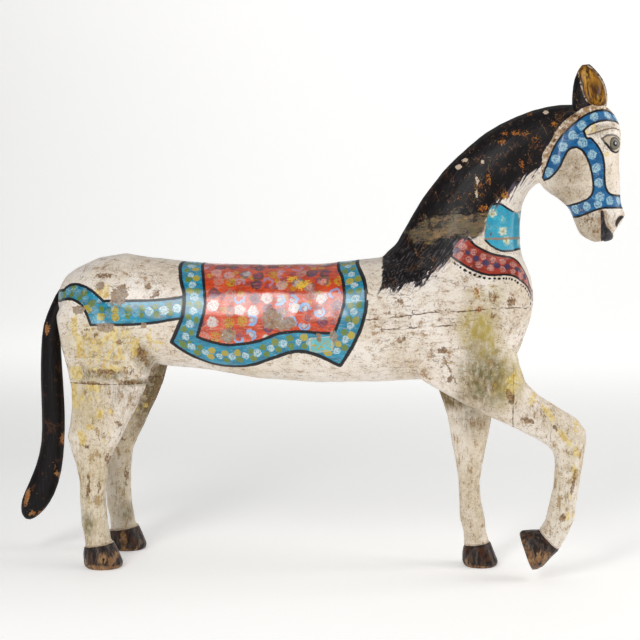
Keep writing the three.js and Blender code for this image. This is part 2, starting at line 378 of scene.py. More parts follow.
def carveTail():
    tailWood = joinBlocks("tailCarving", ["tail"])
    remesh(tailWood, carving["fineGrain"])
    soften(tailWood, np.full(len(tailWood.data.vertices), 0.35), 40)
    return tailWood


blocks["tail"] = carveTail()
print("blocks parted:", {name: len(block.data.polygons) for name, block in blocks.items()})


# where the paint lies: outlines in mm, typed for the horse's right side and mirrored to its left

def smoothCurve(points, steps=6):
    points = np.array(points, float)
    starts = [0] + [i for i in range(1, len(points)) if (points[i] == points[i - 1]).all()] + [len(points)]
    line = []
    for first, last in zip(starts, starts[1:]):  # a point given twice is a corner
        stroke = points[first:last]
        ends = np.vstack([2 * stroke[0] - stroke[1], stroke, 2 * stroke[-1] - stroke[-2]])
        for a, b, c, d in zip(ends, ends[1:], ends[2:], ends[3:]):
            for t in np.arange(steps) / steps:
                line.append((2 * b + (c - a) * t + (2 * a - 5 * b + 4 * c - d) * t**2 + (3 * b - a - 3 * c + d) * t**3) / 2)
        line.append(stroke[-1])
    return np.array(line)


# how far inside a closed outline each point lies, below zero outside it
def depthInside(flat, outline, reach=40.0):
    depth = np.full(len(flat), -reach)
    near = ((flat > outline.min(axis=0) - reach) & (flat < outline.max(axis=0) + reach)).all(axis=1)
    spots = flat[near]
    away = np.full(len(spots), np.inf)
    inside = np.zeros(len(spots), bool)
    for a, b in zip(outline, np.roll(outline, -1, axis=0)):
        edge = b - a
        length = edge @ edge
        if length < 1e-6:
            continue
        t = np.clip((spots - a) @ edge / length, 0, 1)
        away = np.minimum(away, np.linalg.norm(spots - a - t[:, None] * edge, axis=1))
        rises = (a[1] > spots[:, 1]) != (b[1] > spots[:, 1])
        inside ^= rises & (spots[:, 0] < edge[0] * (spots[:, 1] - a[1]) / (edge[1] or 1e-9) + a[0])
    depth[near] = np.where(inside, away, -away)
    return np.clip(depth, -reach, reach)


# the same for an outline seen from the side, but measured along the wood where that turns away
def depthOnWood(piece, side, outline):
    outline = smoothCurve(outline)
    depth = depthInside(side, outline)
    slope = np.stack([depthInside(side + shift, outline) - depth for shift in ((1, 0), (0, 1))], axis=1)
    turned = (slope * normalsOf(piece)[:, [0, 2]]).sum(axis=1)
    return depth / np.sqrt(np.maximum(1 - turned**2, 0.1))


# how far along a line the nearest place is, and how far off; above the line counts as plus
def alongLine(points, line, reach=60.0):
    line = smoothCurve(line, 4)
    along = np.zeros(len(points))
    away = np.full(len(points), reach)
    above = np.ones(len(points))
    run = 0.0
    for a, b in zip(line, line[1:]):
        edge = b - a
        length = np.linalg.norm(edge)
        if length < 1e-6:
            continue
        t = np.clip((points - a) @ edge / length**2, 0, 1)
        off = points - a - t[:, None] * edge
        distance = np.linalg.norm(off, axis=1)
        closer = distance < away
        along[closer] = (run + t * length)[closer]
        away[closer] = distance[closer]
        above[closer] = np.where(off[closer, -1] < 0, -1, 1)
        run += length
    return along, away * above


# the distance round the barrel from the spine, measured on the carved wood itself
def distanceRound(points, middle=545.0, stride=12.0, turn=4.0):
    x, y, z = points.T
    stations = np.arange(-620, 480, stride)
    angles = np.radians(np.arange(0, 180 + turn, turn))
    angle = np.arctan2(np.abs(y), z - middle)
    row = np.clip(np.round((x - stations[0]) / stride).astype(int), 0, len(stations) - 1)
    column = np.clip(np.round(angle / angles[1]).astype(int), 0, len(angles) - 1)
    total = np.zeros((len(stations), len(angles)))
    count = np.zeros_like(total)
    np.add.at(total, (row, column), np.hypot(y, z - middle))
    np.add.at(count, (row, column), 1)
    radius = np.full_like(total, 100.0)
    for i in range(len(stations)):
        known = count[i] > 0
        if known.sum() > 3:
            radius[i] = np.interp(angles, angles[known], total[i][known] / count[i][known])
    steps = np.hypot(np.diff(radius), (radius[:, 1:] + radius[:, :-1]) / 2 * angles[1])
    arc = np.hstack([np.zeros((len(stations), 1)), np.cumsum(steps, axis=1)])
    s = np.clip((x - stations[0]) / stride, 0, len(stations) - 1.001)
    t = np.clip(angle / angles[1], 0, len(angles) - 1.001)
    i, j = s.astype(int), t.astype(int)
    s, t = s - i, t - j
    return (arc[i, j] * (1 - s) + arc[i + 1, j] * s) * (1 - t) + (arc[i, j + 1] * (1 - s) + arc[i + 1, j + 1] * s) * t


def store(piece, name, values):
    vector = values.ndim == 2
    layer = piece.data.attributes.new(name, "FLOAT_VECTOR" if vector else "FLOAT", "POINT")
    layer.data.foreach_set("vector" if vector else "value", values.astype(np.float32).ravel())


# x, and the distance round from the spine
blanket = {
    "outer": [
        (-258, -60), (-258, 0), (-260, 40), (-251, 86), (-241, 119), (-242, 157), (-256, 194), (-267, 217), (-267, 217),
        (-237, 240), (-194, 263), (-152, 268), (-109, 258), (-57, 236), (-19, 224), (24, 233), (67, 263), (67, 263),
        (92, 223), (111, 184), (120, 142), (115, 96), (97, 44), (93, 0), (93, -60),
    ],
    "panel": [
        (-219, -60), (-219, 0), (-216, 36), (-205, 88), (-198, 135), (-206, 173), (-214, 200), (-214, 200),
        (-187, 208), (-146, 213), (-93, 203), (-50, 188), (-7, 184), (36, 189), (58, 192), (58, 192),
        (70, 160), (77, 124), (70, 80), (60, 52), (54, 0), (54, -60),
    ],
    "middle": [
        (-239, 0), (-238, 40), (-228, 88), (-220, 128), (-224, 165), (-238, 205), (-230, 222), (-190, 236), (-150, 241),
        (-101, 231), (-53, 212), (-13, 204), (30, 211), (60, 228), (80, 205), (92, 172), (98, 133), (93, 88), (79, 48), (74, 0),
    ],
    "swatchAt": (32, 212),  # a square touched up in a lighter blue
}

# outlines by x and z, middles by x, y and z
strap = {
    "outline": [
        (-236, 550), (-263, 545), (-306, 541), (-346, 540), (-403, 539), (-403, 539), (-414, 548), (-426, 557), (-439, 564),
        (-452, 568), (-468, 570), (-481, 568), (-492, 562), (-503, 556), (-560, 552), (-560, 552),
        (-560, 532), (-508, 535), (-498, 538), (-478, 541), (-462, 538), (-450, 531), (-443, 522), (-436, 510), (-428, 491), (-428, 491),
        (-399, 492), (-344, 493), (-294, 498), (-268, 503), (-236, 507),
    ],
    "middle": [
        (-236, -99, 528), (-300, -101, 520), (-350, -101, 517), (-400, -102, 515), (-425, -99, 524), (-442, -92, 542),
        (-462, -80, 554), (-482, -70, 555), (-500, -56, 548), (-516, -38, 543), (-522, -18, 542),
    ],
}

breastBand = {
    "outline": [
        (300, 666), (314, 664), (326, 652), (343, 642), (362, 634), (381, 630), (399, 626), (411, 617), (421, 601), (428, 586),
        (434, 568), (441, 560), (480, 556), (480, 556), (480, 538), (441, 541), (435, 554), (426, 573), (416, 583), (405, 591),
        (391, 595), (372, 595), (353, 595), (337, 599), (320, 606), (303, 616), (289, 625), (277, 634), (277, 634), (283, 645), (290, 656),
    ],
    "middle": [
        (286, -74, 642), (305, -72, 640), (325, -75, 628), (345, -73, 619), (367, -71, 614), (391, -66, 611), (408, -60, 603),
        (421, -50, 588), (431, -38, 570), (437, -22, 555), (439, 0, 550),
    ],
}

throatBand = {
    "outline": [
        (367, 731), (377, 729), (389, 721), (403, 713), (413, 715), (421, 724), (450, 745), (450, 745), (450, 648), (410, 643),
        (397, 640), (380, 640), (366, 645), (352, 655), (345, 665), (346, 682), (348, 700), (351, 718), (358, 729),
    ],
}

bridle = {
    "crown": [
        (454, 781), (458, 794), (466, 816), (476, 840), (487, 857), (502, 874), (519, 889), (535, 900), (552, 907), (569, 909),
        (580, 907), (590, 901), (600, 893), (620, 890), (620, 890), (620, 880), (600, 884), (591, 888), (579, 890), (565, 889),
        (547, 883), (535, 874), (526, 864), (509, 838), (503, 834), (495, 821), (486, 801), (476, 788), (467, 780), (457, 776),
    ],
    "cheek": [
        (515, 880), (530, 870), (536, 856), (545, 855), (558, 840), (567, 823), (571, 801), (572, 777), (575, 760), (582, 750),
        (592, 747), (604, 746), (640, 746), (640, 746), (640, 722), (604, 723), (587, 723), (567, 722), (548, 716), (529, 708),
        (516, 705), (480, 699), (480, 699), (480, 724), (504, 727), (511, 729), (528, 734), (543, 742), (550, 755), (550, 774),
        (546, 794), (540, 813), (531, 829), (519, 838), (509, 838), (500, 850),
    ],
    "middles": [
        [(455, -36, 776), (468, -47, 796), (479, -51, 817), (492, -53, 841), (512, -52, 863), (532, -47, 885), (555, -41, 897), (578, -29, 899), (592, -12, 897), (596, 0, 896)],
        [(524, -54, 856), (531, -53, 846), (547, -49, 825), (556, -43, 799), (560, -39, 772), (565, -34, 740)],
        [(500, -8, 714), (521, -29, 722), (544, -35, 727), (565, -33, 732), (586, -27, 737), (601, -14, 738), (605, 0, 738)],
    ],
    "spacing": (27.4, 28.0, 23.0),
    "first": (22.0, 12.0, 27.0),
}

mane = {
    "outline": [
        (143, 700), (143, 640), (144, 623), (147, 602), (149, 578), (145, 566), (139, 552), (139, 552), (152, 566), (172, 562), (186, 568),
        (202, 575), (221, 573), (231, 583), (244, 594), (256, 606), (268, 615), (277, 627), (283, 637), (290, 656), (314, 667),
        (342, 670), (345, 684), (348, 702), (355, 722), (367, 731), (384, 744), (400, 759), (423, 778), (441, 792), (454, 808),
        (457, 831), (470, 851), (479, 872), (494, 888), (512, 902), (529, 913), (551, 918), (569, 917), (590, 911), (640, 911),
        (640, 1020), (100, 1020),
    ],
}

mendedJoint = {
    "outline": [
        (186, 676), (215, 694), (250, 708), (290, 717), (330, 716), (348, 706), (347, 672), (322, 663), (285, 667), (245, 660), (208, 652),
    ],
    "crack": [(150, 668), (200, 690), (240, 705), (290, 712), (330, 709), (348, 706)],
}

face = {
    "eyeAt": (588.5, 33.0, 846.0),
    "eyeTurn": 33.5,  # degrees from the horse's length
    "eyeOutline": [(-27, 9), (-16, -3), (-5, -13), (8, -17), (19, -13), (24, -3), (20, 7), (12, 12), (-2, 16), (-15, 15)],
    "lidCrease": [(540, 862), (554, 866), (569, 871), (586, 875), (600, 872)],
    "mouth": [(565, 717), (571, 717), (573, 701), (577, 689), (585, 679), (591, 670), (589, 660), (582, 652), (572, 650), (567, 664), (566, 690)],
    "mouthLine": [(568, 720), (568, 700), (569, 680), (571, 662), (574, 648)],
    "nostrilAt": (602.5, 697.0),
    "nostrilSize": (7.5, 12.5),
    "nostrilTilt": 28.0,
    "earHollow": [(516, 996), (520, 975), (525, 955), (531, 936), (540, 922), (555, 916), (573, 920), (572, 940), (567, 958), (558, 974), (546, 987), (530, 997)],
    "stripe": 5.0,  # half the width of the stripe down the face
}

# coronets: a point on each and the way down into the hoof, in the side view
hooves = {
    "right_hind_leg": ((-421, 47), (0.17, -1)),
    "left_hind_leg": ((-415, 45), (0.17, -1)),
    "left_foreleg": ((333, 46), (0.14, -1)),
    "right_foreleg": ((472, 83), (-1, -1)),
}

# worn and mended places, and places of painted shade: x, z, half length, half height, tilt in degrees, strength,
# and a 1 after these where only the far side has it
stains = {
    "ochre": [
        (-405, 557, 14, 13, 0, 1), (-402, 445, 85, 55, 0, 0.4), (-462, 490, 9, 22, 0, 0.9), (-451, 450, 12, 24, 10, 0.85),
        (-387, 473, 16, 16, 0, 0.85), (-369, 434, 7, 16, 0, 0.85), (-342, 450, 8, 24, 5, 0.85), (-312, 464, 7, 14, 0, 0.8),
        (-292, 457, 9, 6, 0, 0.7), (-382, 406, 15, 8, 0, 0.95), (-461, 394, 18, 18, 0, 0.95), (-420, 402, 20, 8, 0, 0.75),
        (-470, 350, 14, 36, 0, 0.85), (-424, 366, 17, 9, 0, 0.8), (-411, 318, 7, 14, 10, 0.9), (-389, 320, 6, 8, 0, 0.8),
        (-430, 288, 8, 7, 0, 0.9), (-447, 266, 8, 18, 12, 1), (-435, 340, 26, 34, 0, 0.35), (401, 386, 13, 26, -20, 0.8),
        (438, 357, 8, 12, -35, 0.85), (466, 336, 11, 6, -42, 0.9), (478, 322, 9, 5, -45, 0.85), (499, 287, 13, 6, -50, 1),
        (509, 274, 5, 9, 0, 0.9), (522, 306, 7, 14, 0, 0.85), (523, 256, 6, 13, 0, 0.95), (521, 216, 5, 18, 0, 0.9),
        (512, 167, 5, 8, 0, 0.75), (512, 130, 8, 9, 0, 0.9), (545, 872, 14, 7, 25, 0.85), (574, 826, 11, 5, 0, 0.7),
        (383, 748, 8, 7, 30, 0.9),
    ],
    "wash": [
        (336, 492, 34, 40, 0, 0.95), (352, 455, 28, 38, 0, 0.7), (352, 400, 44, 44, 0, 0.5), (340, 556, 30, 14, 0, 0.35), (370, 556, 16, 22, 0, 0.35),
        (388, 392, 32, 48, -20, 0.8), (-395, 460, 80, 60, 0, 0.35), (-440, 330, 40, 60, 0, 0.4), (-430, 150, 50, 130, 0, 0.3), (300, 180, 60, 130, 0, 0.22), (505, 200, 60, 120, 0, 0.2),
    ],
    # grime, and painted shade: the far-side marks on the far legs' tops and the mark on the standing leg under the
    # raised forearm darken where shadow falls
    "grimeAndShade": [
        (345, 392, 44, 52, 0, 0.85), (316, 372, 18, 42, -30, 0.6), (368, 384, 24, 46, 0, 0.6), (330, 440, 20, 42, 0, 0.45),
        (-327, 426, 15, 26, 20, 0.8), (-392, 392, 34, 12, 0, 0.75), (-440, 394, 20, 14, 0, 0.7), (-350, 352, 34, 90, -28, 2.1, 1), (-436, 90, 13, 22, 10, 0.8),
        (304, 318, 46, 40, 0, 0.6), (245, 352, 70, 24, 0, 1.5, 1), (330, 240, 14, 30, 0, 0.5), (-370, 360, 22, 30, 0, 0.4), (-345, 376, 30, 7, 0, 0.9),
    ],
    # bare wood; the far-side-only mark on the far hind leg's top is painted shade
    "bare": [
        (268, 450, 10, 7, 0, 1), (283, 394, 9, 7, 30, 0.85), (187, 469, 9, 6, 20, 0.85), (398, 362, 7, 16, 25, 1.1), (280, 415, 34, 2.4, -63, 0.85), (305, 398, 20, 2.2, -50, 0.7),
        (430, 317, 15, 5, -12, 1), (-408, 588, 22, 5, 0, 0.9), (-364, 565, 5, 9, -10, 0.9), (-315, 568, 8, 6, 0, 0.85),
        (-298, 552, 13, 6, 35, 0.8), (-418, 471, 5, 5, 0, 0.9), (-369, 457, 8, 5, 0, 1), (-436, 481, 5, 5, 0, 0.8),
        (187, 543, 11, 6, 0, 0.8), (162, 521, 7, 5, 0, 0.8), (398, 544, 9, 9, 0, 0.95), (363, 556, 11, 13, 0, 0.6),
        (363, 519, 6, 6, 0, 0.85), (262, 512, 5, 5, 0, 0.9), (-437, 166, 5, 24, 0, 0.85), (-416, 168, 4, 18, 0, 0.7),
        (-401, 222, 6, 13, 0, 0.8), (519, 196, 4, 24, -8, 0.85), (499, 128, 7, 8, 0, 0.95), (-376, 294, 8, 4, -40, 0.9),
        (-440, 248, 8, 4, -30, 0.9), (-350, 378, 16, 5, 0, 1), (482, 304, 9, 4, -40, 0.9), (545, 700, 12, 18, 0, 0.5),
        (-430, 376, 30, 3.5, 0, 0.8), (-327, 428, 7, 24, 20, 1.0), (-352, 402, 12, 9, 0, 0.7), (-350, 362, 24, 62, -28, 0.85, 1), (-400, 399, 36, 5, 0, 0.85),
    ],
    "putty": [
        (-412, 568, 9, 9, 0, 0.95), (-372, 549, 17, 22, -30, 1), (-455, 521, 14, 10, 0, 0.85), (-398, 487, 18, 10, 0, 1),
        (-321, 491, 6, 8, 0, 0.85), (-152, 473, 15, 15, 0, 1), (-64, 508, 19, 20, 0, 1), (-38, 497, 22, 12, 10, 0.95),
        (28, 472, 5, 12, 0, 0.9), (57, 474, 9, 12, 0, 0.85),
    ],
    "rust": [
        (332, 563, 5, 14, 20, 1), (336, 530, 6, 6, 0, 1), (401, 867, 11, 6, 0, 0.9), (381, 867, 8, 6, 0, 0.9), (376, 850, 9, 8, 0, 0.85),
        (420, 865, 8, 6, 0, 0.9), (415, 804, 6, 15, 20, 0.9), (383, 747, 9, 8, 0, 1), (341, 722, 12, 8, 0, 0.9), (351, 778, 5, 13, 10, 0.9),
        (474, 883, 8, 7, 0, 0.95), (428, 904, 5, 5, 0, 0.9), (300, 745, 22, 8, 20, 0.6), (335, 760, 12, 26, 10, 0.6), (440, 850, 12, 20, 30, 0.55),
    ],
    "gilt": [(-10, 572, 12, 9, 0, 0.95), (-30, 583, 13, 6, 0, 0.8), (2, 577, 8, 6, 0, 0.7)],
    # these marks wear the white paint; on the cheek, jaw and brow they also lay painted shade
    "wearAndShade": [
        (-390, 440, 90, 70, 0, 1), (-390, 380, 90, 30, 0, 0.8), (350, 490, 85, 95, 0, 0.9), (230, 440, 70, 50, 0, 0.7),
        (-430, 150, 40, 160, 0, 0.8), (-300, 330, 70, 70, 0, 1), (160, 520, 60, 24, 0, 0.7), (190, 480, 90, 50, 0, 0.6),
        (300, 150, 60, 150, 0, 0.5), (496, 797, 38, 38, 0, 0.85), (500, 750, 42, 26, 0, 0.6), (548, 684, 42, 34, 0, 0.85), (566, 872, 26, 10, 20, 0.7), (500, 200, 50, 110, 0, 0.6), (430, 350, 60, 40, -30, 0.7), (-330, 590, 80, 30, 0, 0.4),
    ],
    "flake": [
        (293, 802, 7, 5, 0, 1), (304, 815, 7, 4, 10, 0.9), (459, 906, 6, 4, 0, 0.9), (339, 811, 4, 5, 0, 0.85), (329, 776, 4, 12, 10, 0.75),
        (328, 750, 4, 10, 10, 0.75),
    ],
}

marginWear = [
    (452, 812), (457, 831), (470, 851), (479, 872), (494, 888), (512, 902), (529, 913), (551, 918), (580, 916), (592, 905),
    (580, 907), (552, 907), (535, 900), (519, 889), (502, 874), (487, 857), (476, 840), (466, 816), (458, 794), (452, 786),
]

tailWear = [
    (-547, 474, 6, 12, 0, 0.9), (-596, 124, 6, 20, -15, 1), (-519, 246, 4, 14, 0, 0.8), (-560, 92, 22, 8, 30, 0.6),
    (-585, 90, 12, 8, 0, 0.6), (-530, 170, 5, 26, 20, 0.6),
]

# worn horn: ahead of the hoof's middle and height in mm, then as above
hoofWear = {
    "right_hind_leg": [(0, 4, 44, 8, 0, 0.95), (6, 24, 9, 13, 0, 1), (25, 20, 8, 17, -20, 0.85), (-31, 12, 8, 10, 0, 0.8)],
    "left_hind_leg": [(-2, 20, 7, 24, 0, 1.1), (0, 3, 34, 4, 0, 0.7), (31, 15, 5, 13, -20, 0.6)],
    "left_foreleg": [(0, 3, 40, 4, 0, 0.75), (-22, 12, 10, 12, 0, 0.6)],
    "right_foreleg": [(-22, 50, 18, 36, 20, 0.95), (-4, 20, 20, 22, 0, 0.85), (8, 50, 18, 18, 0, 0.75)],
}

cracks = [
    [(122, 508), (168, 512), (215, 519), (251, 523), (300, 525), (344, 529), (391, 533), (425, 530)],
    [(209, 494), (206, 511), (211, 529)],
    [(150, 489), (215, 493), (285, 499)],
]
farShift = (31, -9)  # the worn places on the far side lie this much aside


def stainField(x, z, y, marks):
    field = np.zeros(len(x))
    for side, shift, share in ((-1, (0, 0), 1.0), (1, farShift, 0.8)):
        on = np.nonzero(y * side > -4)[0]
        for cx, cz, a, b, tilt, strength, *only in marks:
            if only and only[0] != side:
                continue
            u, v = x[on] - cx - shift[0], z[on] - cz - shift[1]
            cos, sin = math.cos(math.radians(tilt)), math.sin(math.radians(tilt))
            d = np.hypot((u * cos + v * sin) / a, (v * cos - u * sin) / b)
            field[on] = np.maximum(field[on], share * strength * np.clip(1.5 - d, 0, 1))
    return field


def markStains(piece, kinds):
    x, y, z = pointsOf(piece).T
    for kind in kinds:
        store(piece, kind, stainField(x, z, y, stains[kind]))


def markMane(piece, side):
    store(piece, "maneDepth", depthInside(side, smoothCurve(mane["outline"])))
    x, z = side.T
    store(piece, "feather", 1.5 + 5.5 * step(146, 162, x) * (1 - step(440, 458, x)) * (1 - step(800, 830, z)))
    store(piece, "mendDepth", depthInside(side, smoothCurve(mendedJoint["outline"])))
    store(piece, "mendCrack", alongLine(side, mendedJoint["crack"], 30)[1])
    store(piece, "throatDepth", depthOnWood(piece, side, throatBand["outline"]))


def markTrunk(piece):
    points = pointsOf(piece)
    x, y, z = points.T
    side = np.stack([x, z], axis=1)
    near = np.stack([x, -np.abs(y), z], axis=1)
    round_ = distanceRound(points)
    laid = np.stack([x, round_], axis=1)
    store(piece, "cloth", np.stack([x, np.where(y < 0, round_, -round_), 0 * x], axis=1))
    store(piece, "blanketDepth", depthInside(laid, smoothCurve(blanket["outer"])))
    store(piece, "panelDepth", depthInside(laid, smoothCurve(blanket["panel"])))
    store(piece, "border", np.stack([*alongLine(laid, blanket["middle"]), 0 * x], axis=1))
    swatch = np.maximum(np.abs(laid[:, 0] - blanket["swatchAt"][0]) / 1.5, np.abs(laid[:, 1] - blanket["swatchAt"][1]))
    store(piece, "swatch", 15 - swatch - 30 * (y > 0))
    store(piece, "strapDepth", depthInside(side, smoothCurve(strap["outline"])))
    store(piece, "strapPlace", np.stack([*alongLine(near, strap["middle"]), 0 * x], axis=1))
    store(piece, "breastDepth", depthOnWood(piece, side, breastBand["outline"]))
    store(piece, "breastPlace", np.stack([*alongLine(near, breastBand["middle"]), 0 * x], axis=1))
    found = np.array([alongLine(side, line, 30)[1] for line in cracks])
    nearest = found[np.argmin(np.abs(found), axis=0), np.arange(len(x))]
    store(piece, "crack", nearest + 30 * (y > 0))
    store(piece, "seam", np.minimum(np.abs(z - joints["hindLegs"][1]) + 60 * (x > joints["hindLegs"][0]), np.abs(x - joints["rightForeleg"][0]) + 60 * (z > 360) + 60 * (y > 0)))
    markMane(piece, side)
    markStains(piece, ["wearAndShade", "ochre", "wash", "grimeAndShade", "bare", "putty", "rust", "gilt"])


# places on the head, in its own directions: across and up from the eye, and in from the nostril's rim
def eyePlace(points):
    x, y, z = points.T
    turn = math.radians(face["eyeTurn"])
    across = (x - face["eyeAt"][0]) * math.cos(turn) - (np.abs(y) - face["eyeAt"][1]) * math.sin(turn)
    facing = np.where((z > 800) & (x > 555), 0, 40)
    place = np.stack([across, z - face["eyeAt"][2]], axis=1)
    return place, depthInside(place, smoothCurve(face["eyeOutline"])) - facing


def nostrilDepth(points):
    x, y, z = points.T
    tilt = math.radians(face["nostrilTilt"])
    u, v = x - face["nostrilAt"][0], z - face["nostrilAt"][1]
    u, v = u * math.cos(tilt) - v * math.sin(tilt), u * math.sin(tilt) + v * math.cos(tilt)
    hole = (1 - np.hypot(u / face["nostrilSize"][0], v / face["nostrilSize"][1])) * face["nostrilSize"][0]
    return np.where(np.abs(y) > 6, hole, -20)


# cuts the eyes, lids, nostrils and mouth into the carved head
def carveFace(piece):
    points, normals = pointsOf(piece), normalsOf(piece)
    x, y, z = points.T
    side = np.stack([x, z], axis=1)
    place, eyeDepth = eyePlace(points)
    ball = 1.6 * step(-0.5, 8, eyeDepth)
    lids = -1.3 * bump(eyeDepth + 0.5, 1.8) + 0.8 * bump(eyeDepth + 4.5, 2.5)
    crease = np.abs(alongLine(side, face["lidCrease"], 30)[1]) + 30 * (np.abs(y) < 12)
    brow = -1.0 * bump(crease, 2.0)
    hole = -4.5 * step(-1.0, 4.0, nostrilDepth(points)) + 0.9 * bump(nostrilDepth(points) + 3, 2.2)
    slit = np.abs(alongLine(side, face["mouthLine"], 30)[1])
    mouth = -2.2 * bump(slit, 2.0) * (np.abs(y) < 60)
    lips = 2.5 * step(8, 2, np.hypot(x - 583, (z - 658) * 0.8) - 9) * step(676, 664, z)
    movePoints(piece, points + normals * (ball + lids + brow + hole + mouth + lips)[:, None])


def markHead(piece):
    points = pointsOf(piece)
    x, y, z = points.T
    side = np.stack([x, z], axis=1)
    near = np.stack([x, -np.abs(y), z], axis=1)
    markMane(piece, side)
    depth = np.maximum(depthOnWood(piece, side, bridle["crown"]), depthOnWood(piece, side, bridle["cheek"]))
    store(piece, "bridleDepth", depth)
    places = [alongLine(near, line) for line in bridle["middles"]]
    spaced = [(along - first) / spacing for (along, away), first, spacing in zip(places, bridle["first"], bridle["spacing"])]
    nearest = np.argmin([np.abs(away) for along, away in places], axis=0)
    pick = np.arange(len(x))
    spaced = np.array(spaced)[nearest, pick] * 27  # the dabs then lie 27 apart on every strap
    store(piece, "bridlePlace", np.stack([spaced, np.array(places)[nearest, 1, pick], 0 * x], axis=1))
    store(piece, "margin", depthInside(side, smoothCurve(marginWear)))
    place, eyeDepth = eyePlace(points)
    store(piece, "eye", np.stack([*place.T, 0 * x], axis=1))
    store(piece, "eyeDepth", eyeDepth)
    store(piece, "lidCrease", alongLine(side, face["lidCrease"], 30)[1] + 30 * (np.abs(y) < 12))
    store(piece, "mouthDepth", depthInside(side, smoothCurve(face["mouth"])))
    store(piece, "nostrilDepth", nostrilDepth(points))
    hollow = np.minimum(depthInside(side, smoothCurve(face["earHollow"])), np.abs(y) - 30)
    store(piece, "earHollow", hollow)
    store(piece, "stripe", np.where((x > 560) & (z > 748) & (z < 842), np.abs(y) - face["stripe"], 30))
    markStains(piece, ["wearAndShade", "ochre", "bare", "rust", "flake"])


def markLeg(piece, node):
    x, y, z = pointsOf(piece).T
    (cx, cz), (dx, dz) = hooves[node]
    length = math.hypot(dx, dz)
    store(piece, "hoofDepth", ((x - cx) * dx + (z - cz) * dz) / length)
    seam = np.abs(z - joints["hindLegs"][1]) if "hind" in node else np.abs(x - joints["rightForeleg"][0]) if node == "right_foreleg" else np.full(len(x), 60.0)
    store(piece, "seam", seam)
    middle = x[z < z.min() + 30].mean()
    store(piece, "hoofWorn", stainField(x - middle, z, -np.abs(y), hoofWear[node]))
    markStains(piece, ["wearAndShade", "ochre", "wash", "grimeAndShade", "bare"])


def markTail(piece):
    x, y, z = pointsOf(piece).T
    store(piece, "flake", stainField(x, z, y, tailWear))


markTrunk(blocks["trunk"])
carveFace(blocks["neck_and_head"])
markHead(blocks["neck_and_head"])
for node in hooves:
    markLeg(blocks[node], node)
markTail(blocks["tail"])
print("paint laid out")


# shader nodes: a Value is what one node gives out, and reckoning with it adds nodes to the tree being drawn

canvas = {}  # that tree, the place on the wood it starts from, what it has read, and the coat so far


class Value:
    def __init__(self, socket=None, factors=None):
        self.made, self.factors = socket, factors

    # a product becomes a node only when it is used, so that a sum can take it in
    def socket(self):
        if self.made is None:
            self.made = calc("MULTIPLY", *self.factors).made
        return self.made

    def __mul__(self, other):
        return Value(factors=(self, other))

    def __add__(self, other):
        return calc("MULTIPLY_ADD", *self.factors, other) if self.factors else calc("ADD", self, other)

    def __sub__(self, other):
        return calc("SUBTRACT", self, other)

    def __truediv__(self, other):
        return calc("DIVIDE", self, other)

    def __abs__(self):
        return calc("ABSOLUTE", self)


def hexColour(code):
    channels = [int(code[i:i + 2], 16) / 255 for i in (0, 2, 4)]
    return (*[c / 12.92 if c <= 0.04045 else ((c + 0.055) / 1.055) ** 2.4 for c in channels], 1)


palette = {name: hexColour(code) for name, code in {
    "cream": "F0E7DC", "creamWarm": "E2D4C1", "creamWorn": "C9B49C", "timber": "A07D57", "timberDark": "55381F",
    "ink": "0C0C10", "turquoise": "1A92B2", "turquoiseDeep": "0B6D8A", "collarBlue": "23A0BC", "collarPale": "5DBBC4",
    "bridleBlue": "19689C", "bridleDeep": "104E7E", "red": "DB4505", "redDeep": "AE3204", "breastRed": "A83A26",
    "breastDeep": "78281F", "olive": "647A14", "yellow": "B8A010", "dabWhite": "D5E2DE", "dabPale": "A9CBD2",
    "skyRing": "79AEDD", "navy": "2A3358", "rose": "D09A8E", "ochre": "CBA43C", "ochrePale": "E0CB85",
    "washYellow": "B09C50", "grimeAndShade": "776038", "grimeGreen": "716A46", "putty": "A3968A", "puttyDark": "65594A",
    "rust": "96541C", "gilt": "E2B93C", "hair": "0F0B0B", "hairGrey": "453C48", "hairLilac": "6E6470",
    "hairSheen": "8C8688", "hairBrown": "4F2F1B", "tan": "9A7955", "horn": "231B19", "hornGrey": "5A4C42",
    "hornWorn": "96693F", "gold": "B27C1E", "goldBright": "D9A52E", "goldDark": "43240F", "eyeWhite": "B9AD98",
    "iris": "6E6858", "eyeGlint": "A8ABA4", "cheekShade": "CFC9BD",
}.items()}


# a socket takes a Value, a colour by its name, or a number
def join(value, socket):
    if isinstance(value, Value):
        canvas["tree"].links.new(value.socket(), socket)
    else:
        socket.default_value = palette[value] if isinstance(value, str) else value


def outputsOf(node):
    values = [Value(socket) for socket in node.outputs]
    return {**dict(enumerate(values)), **{socket.name: value for socket, value in zip(node.outputs, values)}}


def put(kind, inputs=(), **settings):
    nodes = canvas["tree"].nodes
    made = nodes.new(kind)
    made.location = (220 * (len(nodes) % 12), -260 * (len(nodes) // 12))
    for name, value in settings.items():
        setattr(made, name, value)
    for name, value in dict(inputs).items():
        join(value, made.inputs[name])
    return outputsOf(made)


def calc(operation, a, b=0.0, c=0.0):
    return put("ShaderNodeMath", {0: a, 1: b, 2: c}, operation=operation)[0]


def larger(a, b):
    return calc("MAXIMUM", a, b)


def vector(operation, a, b):
    return put("ShaderNodeVectorMath", {0: a, "Scale" if operation == "SCALE" else 1: b}, operation=operation)[0]


def parts(value):
    return put("ShaderNodeSeparateXYZ", {0: value})


# 0 below the low value, 1 above the high one
def ease(value, low, high):
    return put("ShaderNodeMapRange", {0: value, 1: low, 2: high}, interpolation_type="SMOOTHSTEP")[0]


def blend(mask, under, over):
    return put("ShaderNodeMix", {0: mask, 6: under, 7: over}, data_type="RGBA")[2]


def cloud(size, detail=3.0, roughness=0.55, at=None):
    where = at or canvas["place"]
    return put("ShaderNodeTexNoise", {"Vector": where, "Scale": 1 / size, "Detail": detail, "Roughness": roughness})[0]


